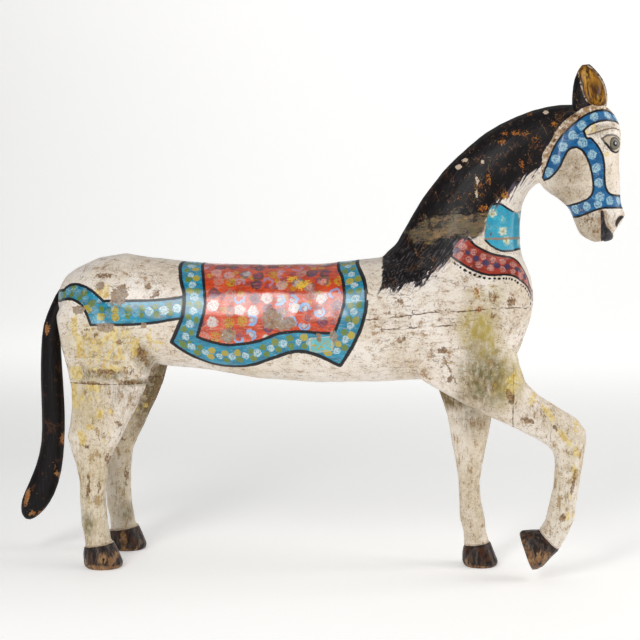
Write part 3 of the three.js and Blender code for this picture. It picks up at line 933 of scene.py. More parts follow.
# thin wandering lines, where a cloud passes its middle value
def scratches(size, width, middle=0.5, at=None):
    return ease(abs(cloud(size, 3.0, 0.45, at) - middle), width, width * 0.3)


def stretched(scale, turn=0.0):
    turned = put("ShaderNodeMapping", {"Vector": canvas["place"], "Rotation": (0, math.radians(turn), 0)})[0]
    return put("ShaderNodeMapping", {"Vector": turned, "Scale": scale})[0]


def stored(name, output="Fac"):
    if name not in canvas["read"]:
        canvas["read"][name] = put("ShaderNodeAttribute", attribute_name=name)
    return canvas["read"][name][output]


def storedPair(name):
    return parts(stored(name, "Vector"))


socketKinds = dict.fromkeys(["Place", "Streaked", "Cloth"], "Vector") | dict.fromkeys(["Color", "Tone", "Deep", "Under"], "Color")


def addSockets(names, way):
    for name in names:
        kind = "NodeSocket" + socketKinds.get(name, "Float")
        canvas["tree"].interface.new_socket(name, in_out=way, socket_type=kind)


def newGroup(name, inputs=""):
    canvas.update(tree=bpy.data.node_groups.new(name, "ShaderNodeTree"), read={})
    addSockets(["Place", *inputs.split()], "INPUT")
    given = outputsOf(canvas["tree"].nodes.new("NodeGroupInput"))
    canvas["place"] = given["Place"]
    return given


def finishGroup(**results):
    addSockets(results, "OUTPUT")
    ends = canvas["tree"].nodes.new("NodeGroupOutput").inputs
    for name, value in results.items():
        join(value, ends[name])
    return canvas["tree"]


def use(group, **inputs):
    return put("ShaderNodeGroup", {"Place": canvas["place"], **inputs}, node_tree=group)


# a mask with a ragged, hand-worn edge where a depth crosses zero
def makeRaggedMask():
    given = newGroup("raggedMask", "Depth Ragged Grain Soft")
    scale = calc("DIVIDE", 1.0, given["Grain"])
    noise = put("ShaderNodeTexNoise", {"Vector": given["Place"], "Scale": scale, "Detail": 4.0, "Roughness": 0.6})[0]
    moved = (noise - 0.5) * (given["Ragged"] * 2.0) + given["Depth"]
    return finishGroup(Mask=ease(moved, given["Soft"] * -1.0, given["Soft"]))


# a brushed line along a depth of zero
def makeInkLine():
    given = newGroup("inkLine", "Depth Width")
    middle = abs((cloud(11.0, 2.0) - 0.5) * 1.6 + given["Depth"])
    uneven = (cloud(5.0) - 0.5) * 1.6 + given["Width"] * 0.5
    return finishGroup(Mask=ease(uneven - middle, -0.5, 0.5))


# a row of brush dabs along a band; Rim is 0 in a dab's middle and 1 at its edge, Turn goes once round it
def makeDabRow():
    given = newGroup("dabRow", "Along Away Spacing First Offset Radius Seed")
    away, spacing, offset, radius = (given[name] for name in ("Away", "Spacing", "Offset", "Radius"))
    steps = (given["Along"] - given["First"]) / spacing
    number = calc("ROUND", steps)
    side = calc("SIGN", away) * calc("SIGN", offset)
    chance = put("ShaderNodeTexWhiteNoise", {"W": side * 0.37 + (number + given["Seed"])}, noise_dimensions="1D")[0]
    jitter = (chance - 0.5) * radius
    ahead = jitter * 0.55 + (steps - number) * spacing
    aside = jitter * 0.3 + (away - side * offset)
    far = (cloud(6.0) - 0.5) * (radius * 0.95) + calc("SQRT", ahead * ahead + aside * aside)
    size = radius * (chance * 0.3 + 0.84)
    turn = calc("ARCTAN2", aside, ahead) / math.tau + chance * 5.0
    return finishGroup(Mask=ease(size - far, -0.9, 0.9), Rim=far / size, Turn=turn, Chance=chance)


# a dab turned with a loaded brush: thin, see-through strokes round a darker spiral
def makeSwirl():
    given = newGroup("swirl", "Rim Turn Load")
    gap = ease(abs(calc("FRACT", given["Rim"] * 1.15 + given["Turn"]) - 0.5), 0.06, 0.2)
    thin = (cloud(2.6, 3.0, 0.65) - 0.5) * 2.4 + given["Load"]
    return finishGroup(Mask=ease(thin * (gap * 0.34 + 0.66), 0.08, 0.86))


# old cream paint over wood: mottled, crazed, speckled and scratched along the grain
def makeWornWhite():
    given = newGroup("wornWhite", "Streaked Wear")
    wear, streaked = given["Wear"], given["Streaked"]
    broad, mottle, fine = cloud(95.0), cloud(18.0, 6.0, 0.66), cloud(3.0, 3.0, 0.6)
    grain = cloud(5.5, 5.0, 0.62, streaked)
    worn = wear * 0.1 + (grain * 0.38 + mottle * 0.62)
    tone = blend(ease(broad, 0.36, 0.66), "cream", "creamWarm")
    tone = blend(ease(worn, 0.49, 0.65) * 0.75, tone, "creamWorn")
    tone = blend(ease(wear * 0.05 + grain, 0.57, 0.72) * 0.24, tone, "timber")
    tone = blend(ease(fine, 0.5, 0.68) * 0.22, tone, "timber")
    shake = put("ShaderNodeTexNoise", {"Vector": given["Place"], "Scale": 0.16, "Detail": 3.0})["Color"]
    shaken = vector("ADD", vector("SCALE", shake, 9.0), given["Place"])
    cells = put("ShaderNodeTexVoronoi", {"Vector": shaken, "Scale": 1 / 9.5}, feature="DISTANCE_TO_EDGE")[0]
    crazed = ease(cells, 0.07, 0.02) * ease(wear * 0.12 + broad, 0.5, 0.62)
    scraped = ease(worn, 0.6, 0.64)
    tone = blend(scraped * 0.7, tone, "timber")
    specks = ease(fine, 0.6, 0.66) * ease(worn, 0.475, 0.56)
    scratch = scratches(13.0, 0.011, 0.47, streaked) * ease(cloud(42.0, 2.0), 0.46, 0.54)
    slant = scratches(15.0, 0.007, at=stretched((0.25, 1.0, 1.0), 38.0)) * ease(cloud(37.0, 2.0), 0.54, 0.6)
    marks = larger(larger(specks * 0.75, crazed * 0.22), larger(scratch, slant) * 0.62)
    lost = larger(scraped * 0.6, marks)
    height = (mottle * 0.5 + fine * 0.25) - lost
    return finishGroup(Color=blend(marks, tone, "timberDark"), Roughness=lost * 0.25 + 0.42, Height=height)


# black mane: brushed hair with grey strokes, brown wear, a feathered edge and a painted sheen of pale strokes on the
# lower locks
def makeManeHair():
    given = newGroup("maneHair", "Depth Feather")
    feather = given["Feather"]
    strands = cloud(1.0, 3.0, 0.6, stretched((0.3, 0.3, 0.03), -30.0))
    locks = cloud(1.0, 2.0, at=stretched((0.13, 0.13, 0.018), -30.0))
    coarse = cloud(24.0, 5.0, 0.66)
    edge = given["Depth"] + ((strands - 0.5) * 0.35 + (locks - 0.5)) * (feather * 7.0)
    tone = blend(ease(strands, 0.52, 0.72) * 0.35, "hair", "hairGrey")
    rim = ease(edge, 9.0, 1.0) * ease(feather, 2.0, 5.0)
    tone = blend(rim * 0.8 * ease(strands, 0.42, 0.6), tone, "hairLilac")
    # painted sheen: pale strokes on the lower locks, below 690 mm
    pale = ease(parts(given["Place"])["Z"], 690.0, 630.0) * ease(strands, 0.5, 0.66)
    tone = blend(pale * 0.22, tone, "hairSheen")
    brown = ease(coarse, 0.52, 0.64) * ease(strands, 0.42, 0.62)
    tone = blend(brown * 0.8, tone, "hairBrown")
    flecks = ease(cloud(4.2, 4.0, 0.68), 0.64, 0.68) * ease(coarse, 0.45, 0.55)
    nicks = scratches(17.0, 0.006, at=stretched((1.0, 1.0, 0.22), 24.0)) * ease(coarse, 0.48, 0.58)
    return finishGroup(
        Color=blend(larger(flecks * 0.9, nicks * 0.75), tone, "tan"),
        Mask=ease(edge, -0.9, 1.2),
        Fringe=ease(feather * 1.5 + edge, -1.5, 7.0) * 0.55 * ease(strands, 0.4, 0.64),
        Height=strands * 0.6 + flecks * -0.8,
    )


# the joint of the neck, smeared over with brown filler
def makeFiller():
    given = newGroup("filler", "Depth Crack")
    smear = cloud(10.0, 6.0, 0.68, stretched((0.35, 1.0, 1.0), 8.0))
    patch = cloud(21.0, 5.0, 0.66)
    tone = blend(ease(smear, 0.42, 0.66), "puttyDark", "tan")
    tone = blend(ease(patch, 0.48, 0.6) * 0.6, tone, "grimeGreen")
    tone = blend(ease(smear, 0.6, 0.68) * 0.5, tone, "ochre")
    dark = larger(scratches(9.0, 0.02, at=stretched((0.3, 1.0, 1.0), 5.0)), ease(patch, 0.44, 0.38))
    edge = ((smear - 0.5) + (patch - 0.5)) * 46.0 + given["Depth"]
    wobble = (cloud(16.0) - 0.5) * 12.0 + given["Crack"]
    return finishGroup(
        Color=blend(dark * 0.75, tone, "hair"), Mask=ease(edge, -5.0, 9.0) * 0.82, Crack=ease(abs(wobble), 1.2, 0.5)
    )


# turquoise collar with yellow and white flowers
def makeThroatCollar():
    given = newGroup("throatCollar")
    tone = blend(ease(cloud(13.0, 4.0), 0.35, 0.65), "collarBlue", "turquoise")
    cells = put("ShaderNodeTexVoronoi", {"Vector": given["Place"], "Scale": 1 / 27, "Randomness": 0.5})
    ruffle = (cloud(4.4) - 0.5) * 0.7 + cells["Distance"]
    tone = blend(ease(ruffle, 0.44, 0.36) * 0.55, tone, "collarPale")
    tone = blend(ease(ruffle, 0.33, 0.25) * 0.8, tone, "yellow")
    tone = blend(ease(abs(ruffle - 0.2), 0.09, 0.04) * 0.75, tone, "dabWhite")
    return finishGroup(Color=blend(ease(cloud(7.0, 5.0, 0.68), 0.6, 0.65) * 0.6, tone, "tan"))


# hand-brushed colour: a deeper tone in streaks, pale scuffs, and small chips down to the wood
def makeBrushed():
    given = newGroup("brushed", "Tone Deep Chips")
    streaks = cloud(9.0, 4.0, at=stretched((0.4, 1.0, 1.0)))
    tone = blend(ease(streaks, 0.34, 0.66), given["Tone"], given["Deep"])
    scuff = scratches(9.0, 0.012, at=stretched((0.2, 1.0, 1.0))) * ease(cloud(30.0, 2.0), 0.5, 0.58)
    tone = blend(scuff * 0.45, tone, "creamWorn")
    chipped = ease(given["Chips"] * 0.1 + cloud(5.0, 5.0, 0.68), 0.68, 0.71)
    return finishGroup(Color=blend(chipped * 0.8, tone, "creamWorn"))


# the painted field of the saddle cloth: rings, swirls and smudges, no two alike
def makeFieldDabs():
    given = newGroup("fieldDabs", "Cloth Under")
    shake = put("ShaderNodeTexNoise", {"Vector": given["Place"], "Scale": 1 / 10, "Detail": 2.0})["Color"]
    spot = vector("ADD", vector("SCALE", vector("SUBTRACT", shake, (0.5, 0.5, 0.5)), 10.0), given["Cloth"])
    bristles = cloud(3.0, 4.0, 0.66)

    # one layer of dabs: how far from a dab's middle, the turn round it, and a number that picks its kind
    def layer(spacing, looseness):
        grid = {"Vector": spot, "Scale": 1 / spacing, "Randomness": looseness}
        cells = put("ShaderNodeTexVoronoi", grid, voronoi_dimensions="2D")
        pick = put("ShaderNodeSeparateColor", {0: cells["Color"]})
        flat = parts(vector("SUBTRACT", spot, cells["Position"]))
        turn = calc("ARCTAN2", flat["Y"], flat["X"]) / math.tau + pick["Green"]
        return (bristles - 0.5) * 0.34 + cells["Distance"], turn, pick["Red"]

    def chosen(low, high):
        return calc("GREATER_THAN", number, low) * calc("LESS_THAN", number, high)

    # the upper rows are darker, with fewer pale dabs: painted shade above the sheen, and the rose rubbing and scratches
    # below stand partly for that sheen
    upper = ease(abs(parts(given["Cloth"])["Y"]), 128.0, 84.0)
    pale = upper * -0.6 + 1.0

    tone = given["Under"]
    far, turn, number = layer(17.0, 0.9)
    smudge = ease(far, 0.46, 0.32) * ease(bristles, 0.4, 0.56)
    kinds = (0.0, 0.3, 0.6, "redDeep"), (0.3, 0.5, 0.7, "navy"), (0.5, 0.62, 0.75, "yellow"), (0.62, 0.74, 0.55, "rose")
    for low, high, strength, colour in kinds:
        tone = blend(smudge * chosen(low, high) * strength, tone, colour)

    far, turn, number = layer(27.0, 0.55)
    blob = ease(far, 0.45, 0.37)
    turned = blob * use(swirl, Rim=far / 0.41, Turn=turn, Load=0.74)["Mask"]
    ring = ease(abs(far - 0.33), 0.12, 0.06) * ease(abs(calc("FRACT", turn) - 0.5), 0.12, 0.2)
    tone = blend(ring * chosen(0.0, 0.32) * pale, tone, "skyRing")
    tone = blend(ease(far, 0.2, 0.13) * chosen(0.0, 0.2) * pale * 0.8, tone, "dabPale")
    tone = blend(turned * chosen(0.32, 0.5) * pale * 0.85, tone, "dabWhite")
    tone = blend(turned * chosen(0.5, 0.66) * 0.85, tone, "navy")
    tone = blend(turned * chosen(0.66, 0.76) * 0.7, tone, "dabPale")
    tone = blend(ring * chosen(0.4, 0.76) * upper * 0.75, tone, "hairBrown")
    tone = blend(blob * ease(bristles, 0.42, 0.56) * chosen(0.76, 0.88) * 0.85, tone, "yellow")
    tone = blend(blob * ease(bristles, 0.4, 0.6) * chosen(0.88, 1.0) * 0.7, tone, "putty")

    # rose rubbing, partly a painted sheen, kept mostly out of the upper rows
    roseSheenAndRubbing = ease(cloud(2.4, 4.0, 0.65), 0.52, 0.64) * ease(cloud(26.0), 0.46, 0.6)
    tone = blend(roseSheenAndRubbing * pale * 0.4, tone, "rose")
    lines = scratches(8.0, 0.013, at=stretched((0.12, 1.0, 1.0)))
    return finishGroup(Color=blend(lines * pale * 0.4, tone, "creamWorn"))


raggedMask = makeRaggedMask()
inkLine = makeInkLine()
dabRow = makeDabRow()
swirl = makeSwirl()
wornWhite = makeWornWhite()
maneHair = makeManeHair()
filler = makeFiller()
throatCollar = makeThroatCollar()
brushed = makeBrushed()
fieldDabs = makeFieldDabs()


# a coat is what lies on top so far: its colour, roughness, height and gloss

def cover(mask, colour, roughness=None, height=None, gloss=None):
    coat = canvas["coat"]
    coat["color"] = blend(mask, coat["color"], colour)
    for key, value in (("roughness", roughness), ("height", height), ("gloss", gloss)):
        if value is not None:
            coat[key] = put("ShaderNodeMix", {0: mask, 2: coat[key], 3: value}, data_type="FLOAT")[0]


def ragged(depth, amount, grain, soft):
    return use(raggedMask, Depth=depth, Ragged=amount, Grain=grain, Soft=soft)["Mask"]


def lineAt(depth, width):
    return use(inkLine, Depth=depth, Width=width)["Mask"]


def inked(name, width):
    cover(lineAt(stored(name), width) * 0.98, "ink", 0.35, 0.35, 0.3)


# turns a stain's field into a mask with a worn edge
def stainMask(kind, grain, low, high, sway, at=None):
    return ease((cloud(grain, 5.0, 0.66, at) - 0.5) * sway + stored(kind), low, high)


def plainCoat():
    canvas["coat"] = {"color": "cream", "roughness": 0.5, "height": 0.0, "gloss": 0.1}


def whiteCoat(grainScale, wear):
    base = use(wornWhite, Streaked=stretched(grainScale), Wear=stored("wearAndShade") * 0.6 + wear)
    # gloss begins at a value that changes nowhere, so it joins the coat at the first cover
    canvas["coat"] = {"color": base["Color"], "roughness": base["Roughness"], "height": base["Height"], "gloss": 0.12}


def washesGrimeAndShade():
    soft = stored("wash") * (cloud(10.0, 5.0, 0.66, stretched((1, 1, 0.35))) * 3.4 + -0.75)
    cover(soft * 0.95, "washYellow")
    # grime, partly painted shade on the far legs' tops and under the raised forearm
    soft = stored("grimeAndShade") * (cloud(9.0, 5.0, 0.68, stretched((1, 1, 0.5))) * 3.8 + -0.9)
    cover(soft * 0.85, blend(ease(cloud(25.0), 0.4, 0.6), "grimeAndShade", "grimeGreen"))


def stainsBareWoodAndShade(streakScale):
    streaked = stretched(streakScale)
    mask = stainMask("ochre", 8.0, 0.46, 0.6, 3.2, streaked) * ease(cloud(2.6, 3.0, 0.6), 0.66, 0.54)
    cover(mask * 0.78, blend(ease(cloud(8.0, 4.0), 0.4, 0.56), "ochre", "ochrePale"), 0.5, 0.25)
    # bare wood, and painted shade on the far hind leg's top
    mask = stainMask("bare", 4.6, 0.5, 0.66, 2.9, streaked)
    cover(mask * 0.85, blend(ease(cloud(4.0, 4.0), 0.38, 0.62), "timberDark", "timber"), 0.7, -0.6)


def putty():
    tone = blend(ease(cloud(7.0, 5.0, 0.66), 0.38, 0.62), "putty", "tan")
    tone = blend(scratches(8.0, 0.03) * 0.85, tone, "puttyDark")
    cover(stainMask("putty", 8.0, 0.5, 0.56, 1.9) * 0.9, tone, 0.55, 0.4, 0.1)


def rust():
    tone = blend(ease(cloud(5.0), 0.48, 0.68), "rust", "gold")
    cover(stainMask("rust", 3.6, 0.72, 0.84, 3.6) * 0.9, tone, 0.5, 0.0, 0.3)


def gilt():
    cover(stainMask("gilt", 3.6, 0.6, 0.66, 3.6), "gilt", 0.4, 0.0, 0.3)


def flakes():
    cover(stainMask("flake", 4.5, 0.54, 0.6, 2.0), "creamWorn", 0.6, -0.3, 0.1)


def paintMane():
    depth = stored("maneDepth")
    hair = use(maneHair, Depth=depth, Feather=stored("feather"))
    cover(hair["Fringe"], "hairLilac")
    cover(hair["Mask"], hair["Color"], 0.42, hair["Height"], 0.0)
    mend = use(filler, Depth=stored("mendDepth"), Crack=stored("mendCrack"))
    inside = ease(depth, -6.0, 2.0)
    cover(mend["Mask"] * inside, mend["Color"], 0.5, 0.3, 0.15)
    cover(mend["Crack"] * inside * 0.8, "ink", 0.7, -1.0)


def paintThroat():
    depth = stored("throatDepth")
    cover(ragged(depth, 1.2, 7.0, 0.7), use(throatCollar)["Color"], 0.3, 0.3, 0.7)
    height = parts(canvas["place"])["Z"]
    ends = larger(ease(height, 712.0, 716.0), ease(height, 666.0, 660.0))
    cover(lineAt(depth, 4.2) * ends, "ink", 0.32, 0.35, 0.7)
    seam = (cloud(12.0) - 0.5) * 7.0 + (height - 664.0)
    cover(ease(abs(seam), 3.2, 1.6) * ease(depth, -1.0, 2.0) * 0.8, "tan", 0.7, -0.5, 0.1)


# lays one row of dabs over a band, in one colour or a chance mix of two
def dabs(spots, row, colour, mask, strength, load=None):
    spacing, first, offset, radius, seed = row
    found = use(
        dabRow, Along=spots["X"], Away=spots["Y"], Spacing=spacing, First=first, Offset=offset, Radius=radius, Seed=seed
    )
    laid = found["Mask"] * mask
    if load:
        laid = laid * use(swirl, Rim=found["Rim"], Turn=found["Turn"], Load=load)["Mask"]
    else:
        laid = laid * ease(cloud(4.0, 3.0, 0.6), 0.26, 0.44)
    if isinstance(colour, tuple):
        colour = blend(ease(found["Chance"], 0.6, 0.9), *colour)
    cover(laid * strength, colour, 0.32, 0.5)


def brushedColour(tone, deep, chips):
    return use(brushed, Tone=tone, Deep=deep, Chips=chips)["Color"]


def paintBreastBand():
    depth, spots = stored("breastDepth"), storedPair("breastPlace")
    cover(ragged(depth, 0.5, 6.0, 0.6), brushedColour("breastRed", "breastDeep", 0.3), 0.3, 0.3, 0.7)
    inner = ease(depth, 1.5, 3.0)
    dabs(spots, (21.0, 16.0, 8.5, 6.8, 7.0), "rose", inner, 0.8, 0.6)
    dabs(spots, (21.0, 6.0, 0.0, 6.2, 3.0), "navy", inner, 0.9)
    inked("breastDepth", 4.6)
    dots = use(
        dabRow, Along=spots["X"], Away=depth + 7.5, Spacing=7.7, First=3.0, Offset=0.0, Radius=2.35, Seed=1.0
    )["Mask"]
    cover(dots * calc("LESS_THAN", spots["Y"], 0.0), "ink", 0.35, 0.4)


def paintStrap():
    depth, spots = stored("strapDepth"), storedPair("strapPlace")
    cover(ragged(depth, 0.5, 6.0, 0.6), brushedColour("turquoise", "turquoiseDeep", 0.45), 0.28, 0.3, 0.8)
    inner = ease(depth, 1.5, 3.5)
    dabs(spots, (28.0, 4.0, 7.5, 7.0, 9.0), ("olive", "yellow"), inner, 0.95)
    faded = ease(spots["X"], 105.0, 60.0) * 0.75 + 0.2
    dabs(spots, (28.0, 18.0, 0.0, 8.4, 5.0), "dabWhite", inner * faded, 0.9, 0.66)
    blotches = ease(cloud(11.0, 4.0, 0.62), 0.52, 0.6) * ease(spots["X"], 80.0, 140.0)
    cover(blotches * inner * 0.6, blend(ease(cloud(15.0), 0.45, 0.55), "olive", "dabPale"))
    scrapes = scratches(9.0, 0.03, at=stretched((0.3, 1.0, 1.0), -4.0)) * ease(cloud(30.0, 2.0), 0.44, 0.56)
    cover(scrapes * 0.75, "puttyDark")
    inked("strapDepth", 5.4)


def paintBlanket():
    outer, panel, spots = stored("blanketDepth"), stored("panelDepth"), storedPair("border")
    cover(ragged(outer, 0.4, 6.0, 0.6), brushedColour("turquoise", "turquoiseDeep", 0.15), 0.25, 0.3, 1.0)
    inner = ease(outer, 3.0, 5.0) * ease(panel, -3.0, -5.0)
    dabs(spots, (27.5, 0.3, 8.0, 6.8, 4.0), ("olive", "yellow"), inner, 0.95)
    dabs(spots, (27.5, 14.0, 0.0, 7.6, 2.0), "dabWhite", inner, 0.8, 0.6)
    swatch = stored("swatch")
    specks = blend(ease(cloud(5.0), 0.52, 0.6), "collarPale", "yellow")
    cover(ragged(swatch, 1.5, 9.0, 0.7) * inner * 0.85, specks)
    cover(ease(abs(swatch - 0.5), 1.6, 0.6) * inner * 0.6, "creamWorn")
    figured = use(fieldDabs, Cloth=stored("cloth", "Vector"), Under=brushedColour("red", "redDeep", 0.2))
    cover(ease(panel, -0.5, 0.5), figured["Color"], 0.24, 0.35, 1.0)
    inked("panelDepth", 6.0)
    inked("blanketDepth", 7.4)


def paintBridle():
    depth = stored("bridleDepth")
    cover(ragged(depth, 0.3, 6.0, 0.5), brushedColour("bridleBlue", "bridleDeep", 0.15), 0.28, 0.3, 0.5)
    dabs(storedPair("bridlePlace"), (27.0, 0.0, 0.0, 8.6, 6.0), "dabPale", ease(depth, 1.2, 2.6), 0.9, 0.62)
    inked("bridleDepth", 4.2)


def paintCracks():
    wobble = (cloud(26.0, 4.0) - 0.5) * 6.0 + stored("crack")
    thickness = cloud(20.0, 2.0) * 1.6 + 0.05
    line = ease(abs(wobble) - thickness, 0.4, -0.4) * ease(cloud(16.0, 2.0, at=stretched((0.5, 1, 1))), 0.4, 0.5)
    cover(line * 0.85, "timberDark", 0.7, -1.0)


def paintSeam():
    near = (cloud(7.0, 5.0, 0.66) - 0.47) * -6.0 + stored("seam")
    cover(ease(near, 1.2, 0.1) * 0.8, "timberDark", 0.7, -1.0)


def paintEye():
    depth, spot = stored("eyeDepth"), storedPair("eye")
    far = calc("SQRT", spot["X"] * spot["X"] + spot["Y"] * spot["Y"])
    inside = ease(depth, -0.4, 0.4)
    cover(inside, blend(ease(cloud(4.0), 0.4, 0.62), "eyeWhite", "creamWorn"), 0.3, 0.3, 0.3)
    cover(ease(far, 12.4, 11.2) * inside, "iris", 0.2, 0.3, 0.3)
    cover(ease(abs(far - 11.4), 1.3, 0.5) * 0.8 * inside, "ink")
    cover(ease(far, 6.4, 5.4) * inside, "ink", 0.15, 0.3, 0.3)
    # a painted glint: a pale dot in the middle of the pupil
    cover(ease(far, 2.9, 1.6) * inside, "eyeGlint")
    cover(lineAt(depth, 3.8) * larger(ease(spot["Y"], 8.0, 0.0), 0.75), "ink", 0.3, -0.4)


def paintEar():
    hollow = stored("earHollow")
    streaks = cloud(7.0, 4.0, at=stretched((1.0, 1.0, 0.22), 16.0))
    tone = blend(ease(streaks, 0.36, 0.6), "goldDark", "gold")
    tone = blend(ease(streaks, 0.42, 0.6) * ease(hollow, 6.0, 13.0), tone, "goldBright")
    # painted shade: the hollow is darker within a few mm of its rim
    tone = blend(ease(hollow, 7.0, 1.5) * 0.7, tone, "goldDark")
    cover(ragged(hollow, 0.8, 5.0, 0.8), tone, 0.42, 0.0, 0.12)
    rim = ease(abs(hollow), 2.0, 0.8) * ease(cloud(9.0), 0.4, 0.55)
    cover(rim * 0.75, "creamWorn", 0.5, 0.0)


def paintFace():
    cover(ease(abs(stored("lidCrease")), 1.3, 0.6) * 0.8, "timberDark", 0.5, -0.3)
    stripe = ease(abs(stored("stripe")), 1.1, 0.5) * ease(cloud(14.0, 2.0), 0.36, 0.46)
    cover(stripe * 0.85, "timberDark")
    paintEye()
    nostril, mouth = stored("nostrilDepth"), stored("mouthDepth")
    cover(ease(nostril, -4.0, 0.0) * 0.4, "timber", 0.5, 0.0)
    cover(ease(nostril, -0.5, 0.8), "ink", 0.4, 0.0)
    cover(ease(nostril, 2.0, 5.0) * 0.4, "hairBrown", 0.5, 0.0)
    cover(ease(mouth, -7.0, -4.0) * ease(cloud(5.0), 0.42, 0.6) * 0.75, "timber")
    black = blend(ease(cloud(5.0, 4.0), 0.5, 0.68), "ink", "hairGrey")
    cover(ragged(mouth, 0.8, 6.0, 0.7), black, 0.3, 0.2, 0.6)
    paintEar()


# painted shade and dirt: the cheek, jaw and brow are darkened by multiplying in a tint
def shadeAndDirtOnCheek():
    coat = canvas["coat"]
    shadeAndDirt = ease(stored("wearAndShade"), 0.05, 0.8) * (cloud(12.0, 4.0) * 1.6 + 0.1)
    mixed = {0: shadeAndDirt, 6: coat["color"], 7: "cheekShade"}
    coat["color"] = put("ShaderNodeMix", mixed, data_type="RGBA", blend_type="MULTIPLY")[2]


def paintMargin():
    worn = blend(ease(cloud(9.0, 5.0, 0.62), 0.36, 0.56), "creamWarm", "tan")
    dark = ease(cloud(8.0, 4.0, 0.6, stretched((1, 1, 0.5), -35.0)), 0.57, 0.62)
    cover(ragged(stored("margin"), 3.5, 5.0, 0.8), blend(dark, worn, "hairBrown"), 0.55, 0.0, 0.1)


def paintHoof():
    hoof = stored("hoofDepth")
    grain = cloud(7.0, 5.0, 0.64, stretched((1.0, 1.0, 0.25)))
    patch = cloud(15.0, 5.0, 0.64)
    horn = blend(ease(grain, 0.46, 0.62) * 0.7, "horn", "hornGrey")
    horn = blend(ease(patch, 0.5, 0.62) * 0.7, horn, "hairBrown")
    bare = stainMask("hoofWorn", 6.0, 0.36, 0.86, 2.2, stretched((1.0, 1.0, 0.4)))
    worn = blend(ease(grain, 0.4, 0.58), "hornGrey", "hornWorn")
    worn = blend(ease(patch, 0.46, 0.6), worn, "timber")
    worn = blend(ease(grain, 0.58, 0.64), worn, "horn")
    cover(ragged(hoof, 1.2, 7.0, 0.7), blend(bare * 0.88, horn, worn), 0.36, grain, 0.1)
    cover(lineAt(hoof + 1.6, 1.8) * 0.6, "timber", 0.5, 0.2)


def tailCoat():
    strands = cloud(3.2, at=stretched((1.0, 1.0, 0.08)))
    patch = cloud(24.0, 5.0, 0.62)
    tone = blend(ease(strands, 0.52, 0.75) * 0.25, "hair", "hairGrey")
    tone = blend(ease(patch, 0.56, 0.68) * 0.7, tone, "hairBrown")
    canvas["coat"] = {"color": tone, "roughness": patch * 0.3 + 0.18, "height": strands * 0.6, "gloss": 0.0}
    worn = blend(ease(cloud(4.0, 4.0), 0.4, 0.6), "tan", "rust")
    cover(stainMask("flake", 5.0, 0.5, 0.58, 2.6), worn, 0.6, -0.3)


# builds a paint from its layers, each a function or a function with its values; relief is in millimetres
def makePaint(name, layers, relief=0.4):
    material = bpy.data.materials.new(name)
    material.use_nodes = True
    canvas.update(tree=material.node_tree, read={})
    canvas["place"] = vector("SCALE", put("ShaderNodeTexCoord")["Object"], 1000.0)
    for layer in layers:
        make, *values = layer if isinstance(layer, tuple) else (layer,)
        make(*values)
    shader, coat = material.node_tree.nodes["Principled BSDF"].inputs, canvas["coat"]
    bumps = put("ShaderNodeBump", {"Height": coat["height"], "Distance": relief * mm, "Strength": 1.0})[0]
    ends = {
        "IOR": 1.46, "Specular IOR Level": 0.2, "Coat Roughness": 0.22, "Coat IOR": 1.52, "Normal": bumps,
        "Base Color": coat["color"], "Roughness": coat["roughness"], "Coat Weight": coat["gloss"],
    }
    for socket, value in ends.items():
        join(value, shader[socket])
    return material


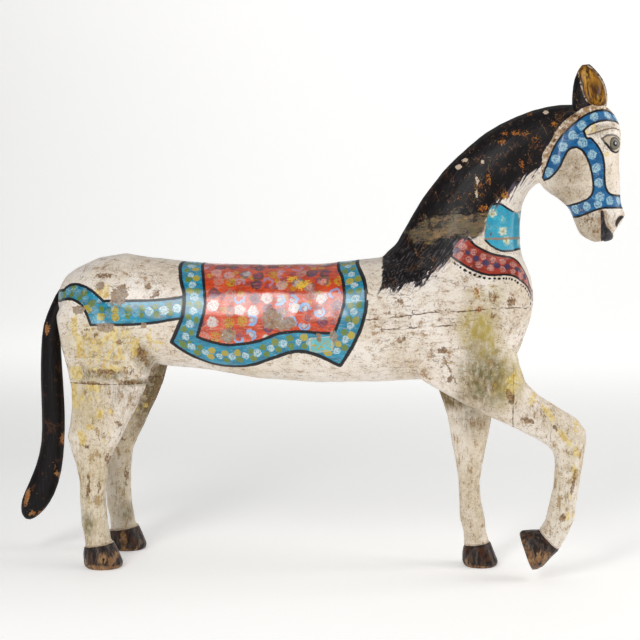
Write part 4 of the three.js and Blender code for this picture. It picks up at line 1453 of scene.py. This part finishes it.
trunkWhite = [(whiteCoat, (0.36, 1.0, 1.0), 0.0), washesGrimeAndShade, (stainsBareWoodAndShade, (1.0, 1.0, 0.55)), paintCracks]
strapLine, blanketLine = (inked, "strapDepth", 5.4), (inked, "blanketDepth", 7.4)
trunkPaints = [
    makePaint("trunkPaint", [*trunkWhite, paintSeam, strapLine, blanketLine, putty, rust]),
    makePaint("clothPaint", [plainCoat, paintBlanket, putty, gilt]),
    makePaint("strapPaint", [plainCoat, paintStrap, blanketLine, putty]),
    makePaint("neckPaint", [*trunkWhite, paintBreastBand, paintThroat, paintMane, rust]),
]
headPaint = makePaint("headPaint", [
    (whiteCoat, (1.0, 1.0, 0.35), -0.15), shadeAndDirtOnCheek, (stainsBareWoodAndShade, (1.0, 1.0, 0.7)),
    paintThroat, paintMane, paintMargin, paintFace, paintBridle, rust, flakes,
], 0.3)
legPaint = makePaint("legPaint", [
    (whiteCoat, (1.0, 1.0, 0.2), 0.08), washesGrimeAndShade, (stainsBareWoodAndShade, (1.0, 1.0, 0.4)), paintSeam, paintHoof,
])
tailPaint = makePaint("tailPaint", [tailCoat])
print("paints mixed")


# gives each face of the trunk the paint that lies there; two paints meet inside a black line or on plain white
def spreadTrunkPaints(piece):
    mesh = piece.data
    starts, corners = np.empty(len(mesh.polygons), np.int32), np.empty(len(mesh.loops), np.int32)
    mesh.polygons.foreach_get("loop_start", starts)
    mesh.loops.foreach_get("vertex_index", corners)
    sizes = np.diff(np.append(starts, len(corners)))

    def middle(name):
        values = np.empty(len(mesh.vertices), np.float32)
        mesh.attributes[name].data.foreach_get("value", values)
        return np.add.reduceat(values[corners], starts) / sizes

    neck = (middle("maneDepth") > -18) | (middle("breastDepth") > -16) | (middle("throatDepth") > -10)
    number = np.where(neck, 3, 0)
    number = np.where(middle("strapDepth") > 0, 2, number)
    number = np.where(middle("blanketDepth") > 0, 1, number)
    mesh.polygons.foreach_set("material_index", number.astype(np.int32))
    mesh.update()


# finish: shading, places and slots

slots = {
    "trunk": "painted_body",
    "neck_and_head": "painted_head",
    "right_foreleg": "painted_legs",
    "left_foreleg": "painted_legs",
    "right_hind_leg": "painted_legs",
    "left_hind_leg": "painted_legs",
    "tail": "painted_tail",
}

coats = {"painted_body": trunkPaints, "painted_head": [headPaint], "painted_legs": [legPaint], "painted_tail": [tailPaint]}

for node, block in blocks.items():
    block.data.materials.clear()
    for paint in coats[slots[node]]:
        block.data.materials.append(paint)
    if node == "trunk":
        spreadTrunkPaints(block)
    elif node in hooves:
        movePoints(block, np.maximum(pointsOf(block), (-1e6, -1e6, 0)))  # flat on the ground
    activate(block)
    bpy.ops.object.shade_smooth_by_angle(angle=math.radians(50))
    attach(block, "root")
    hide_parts(node)
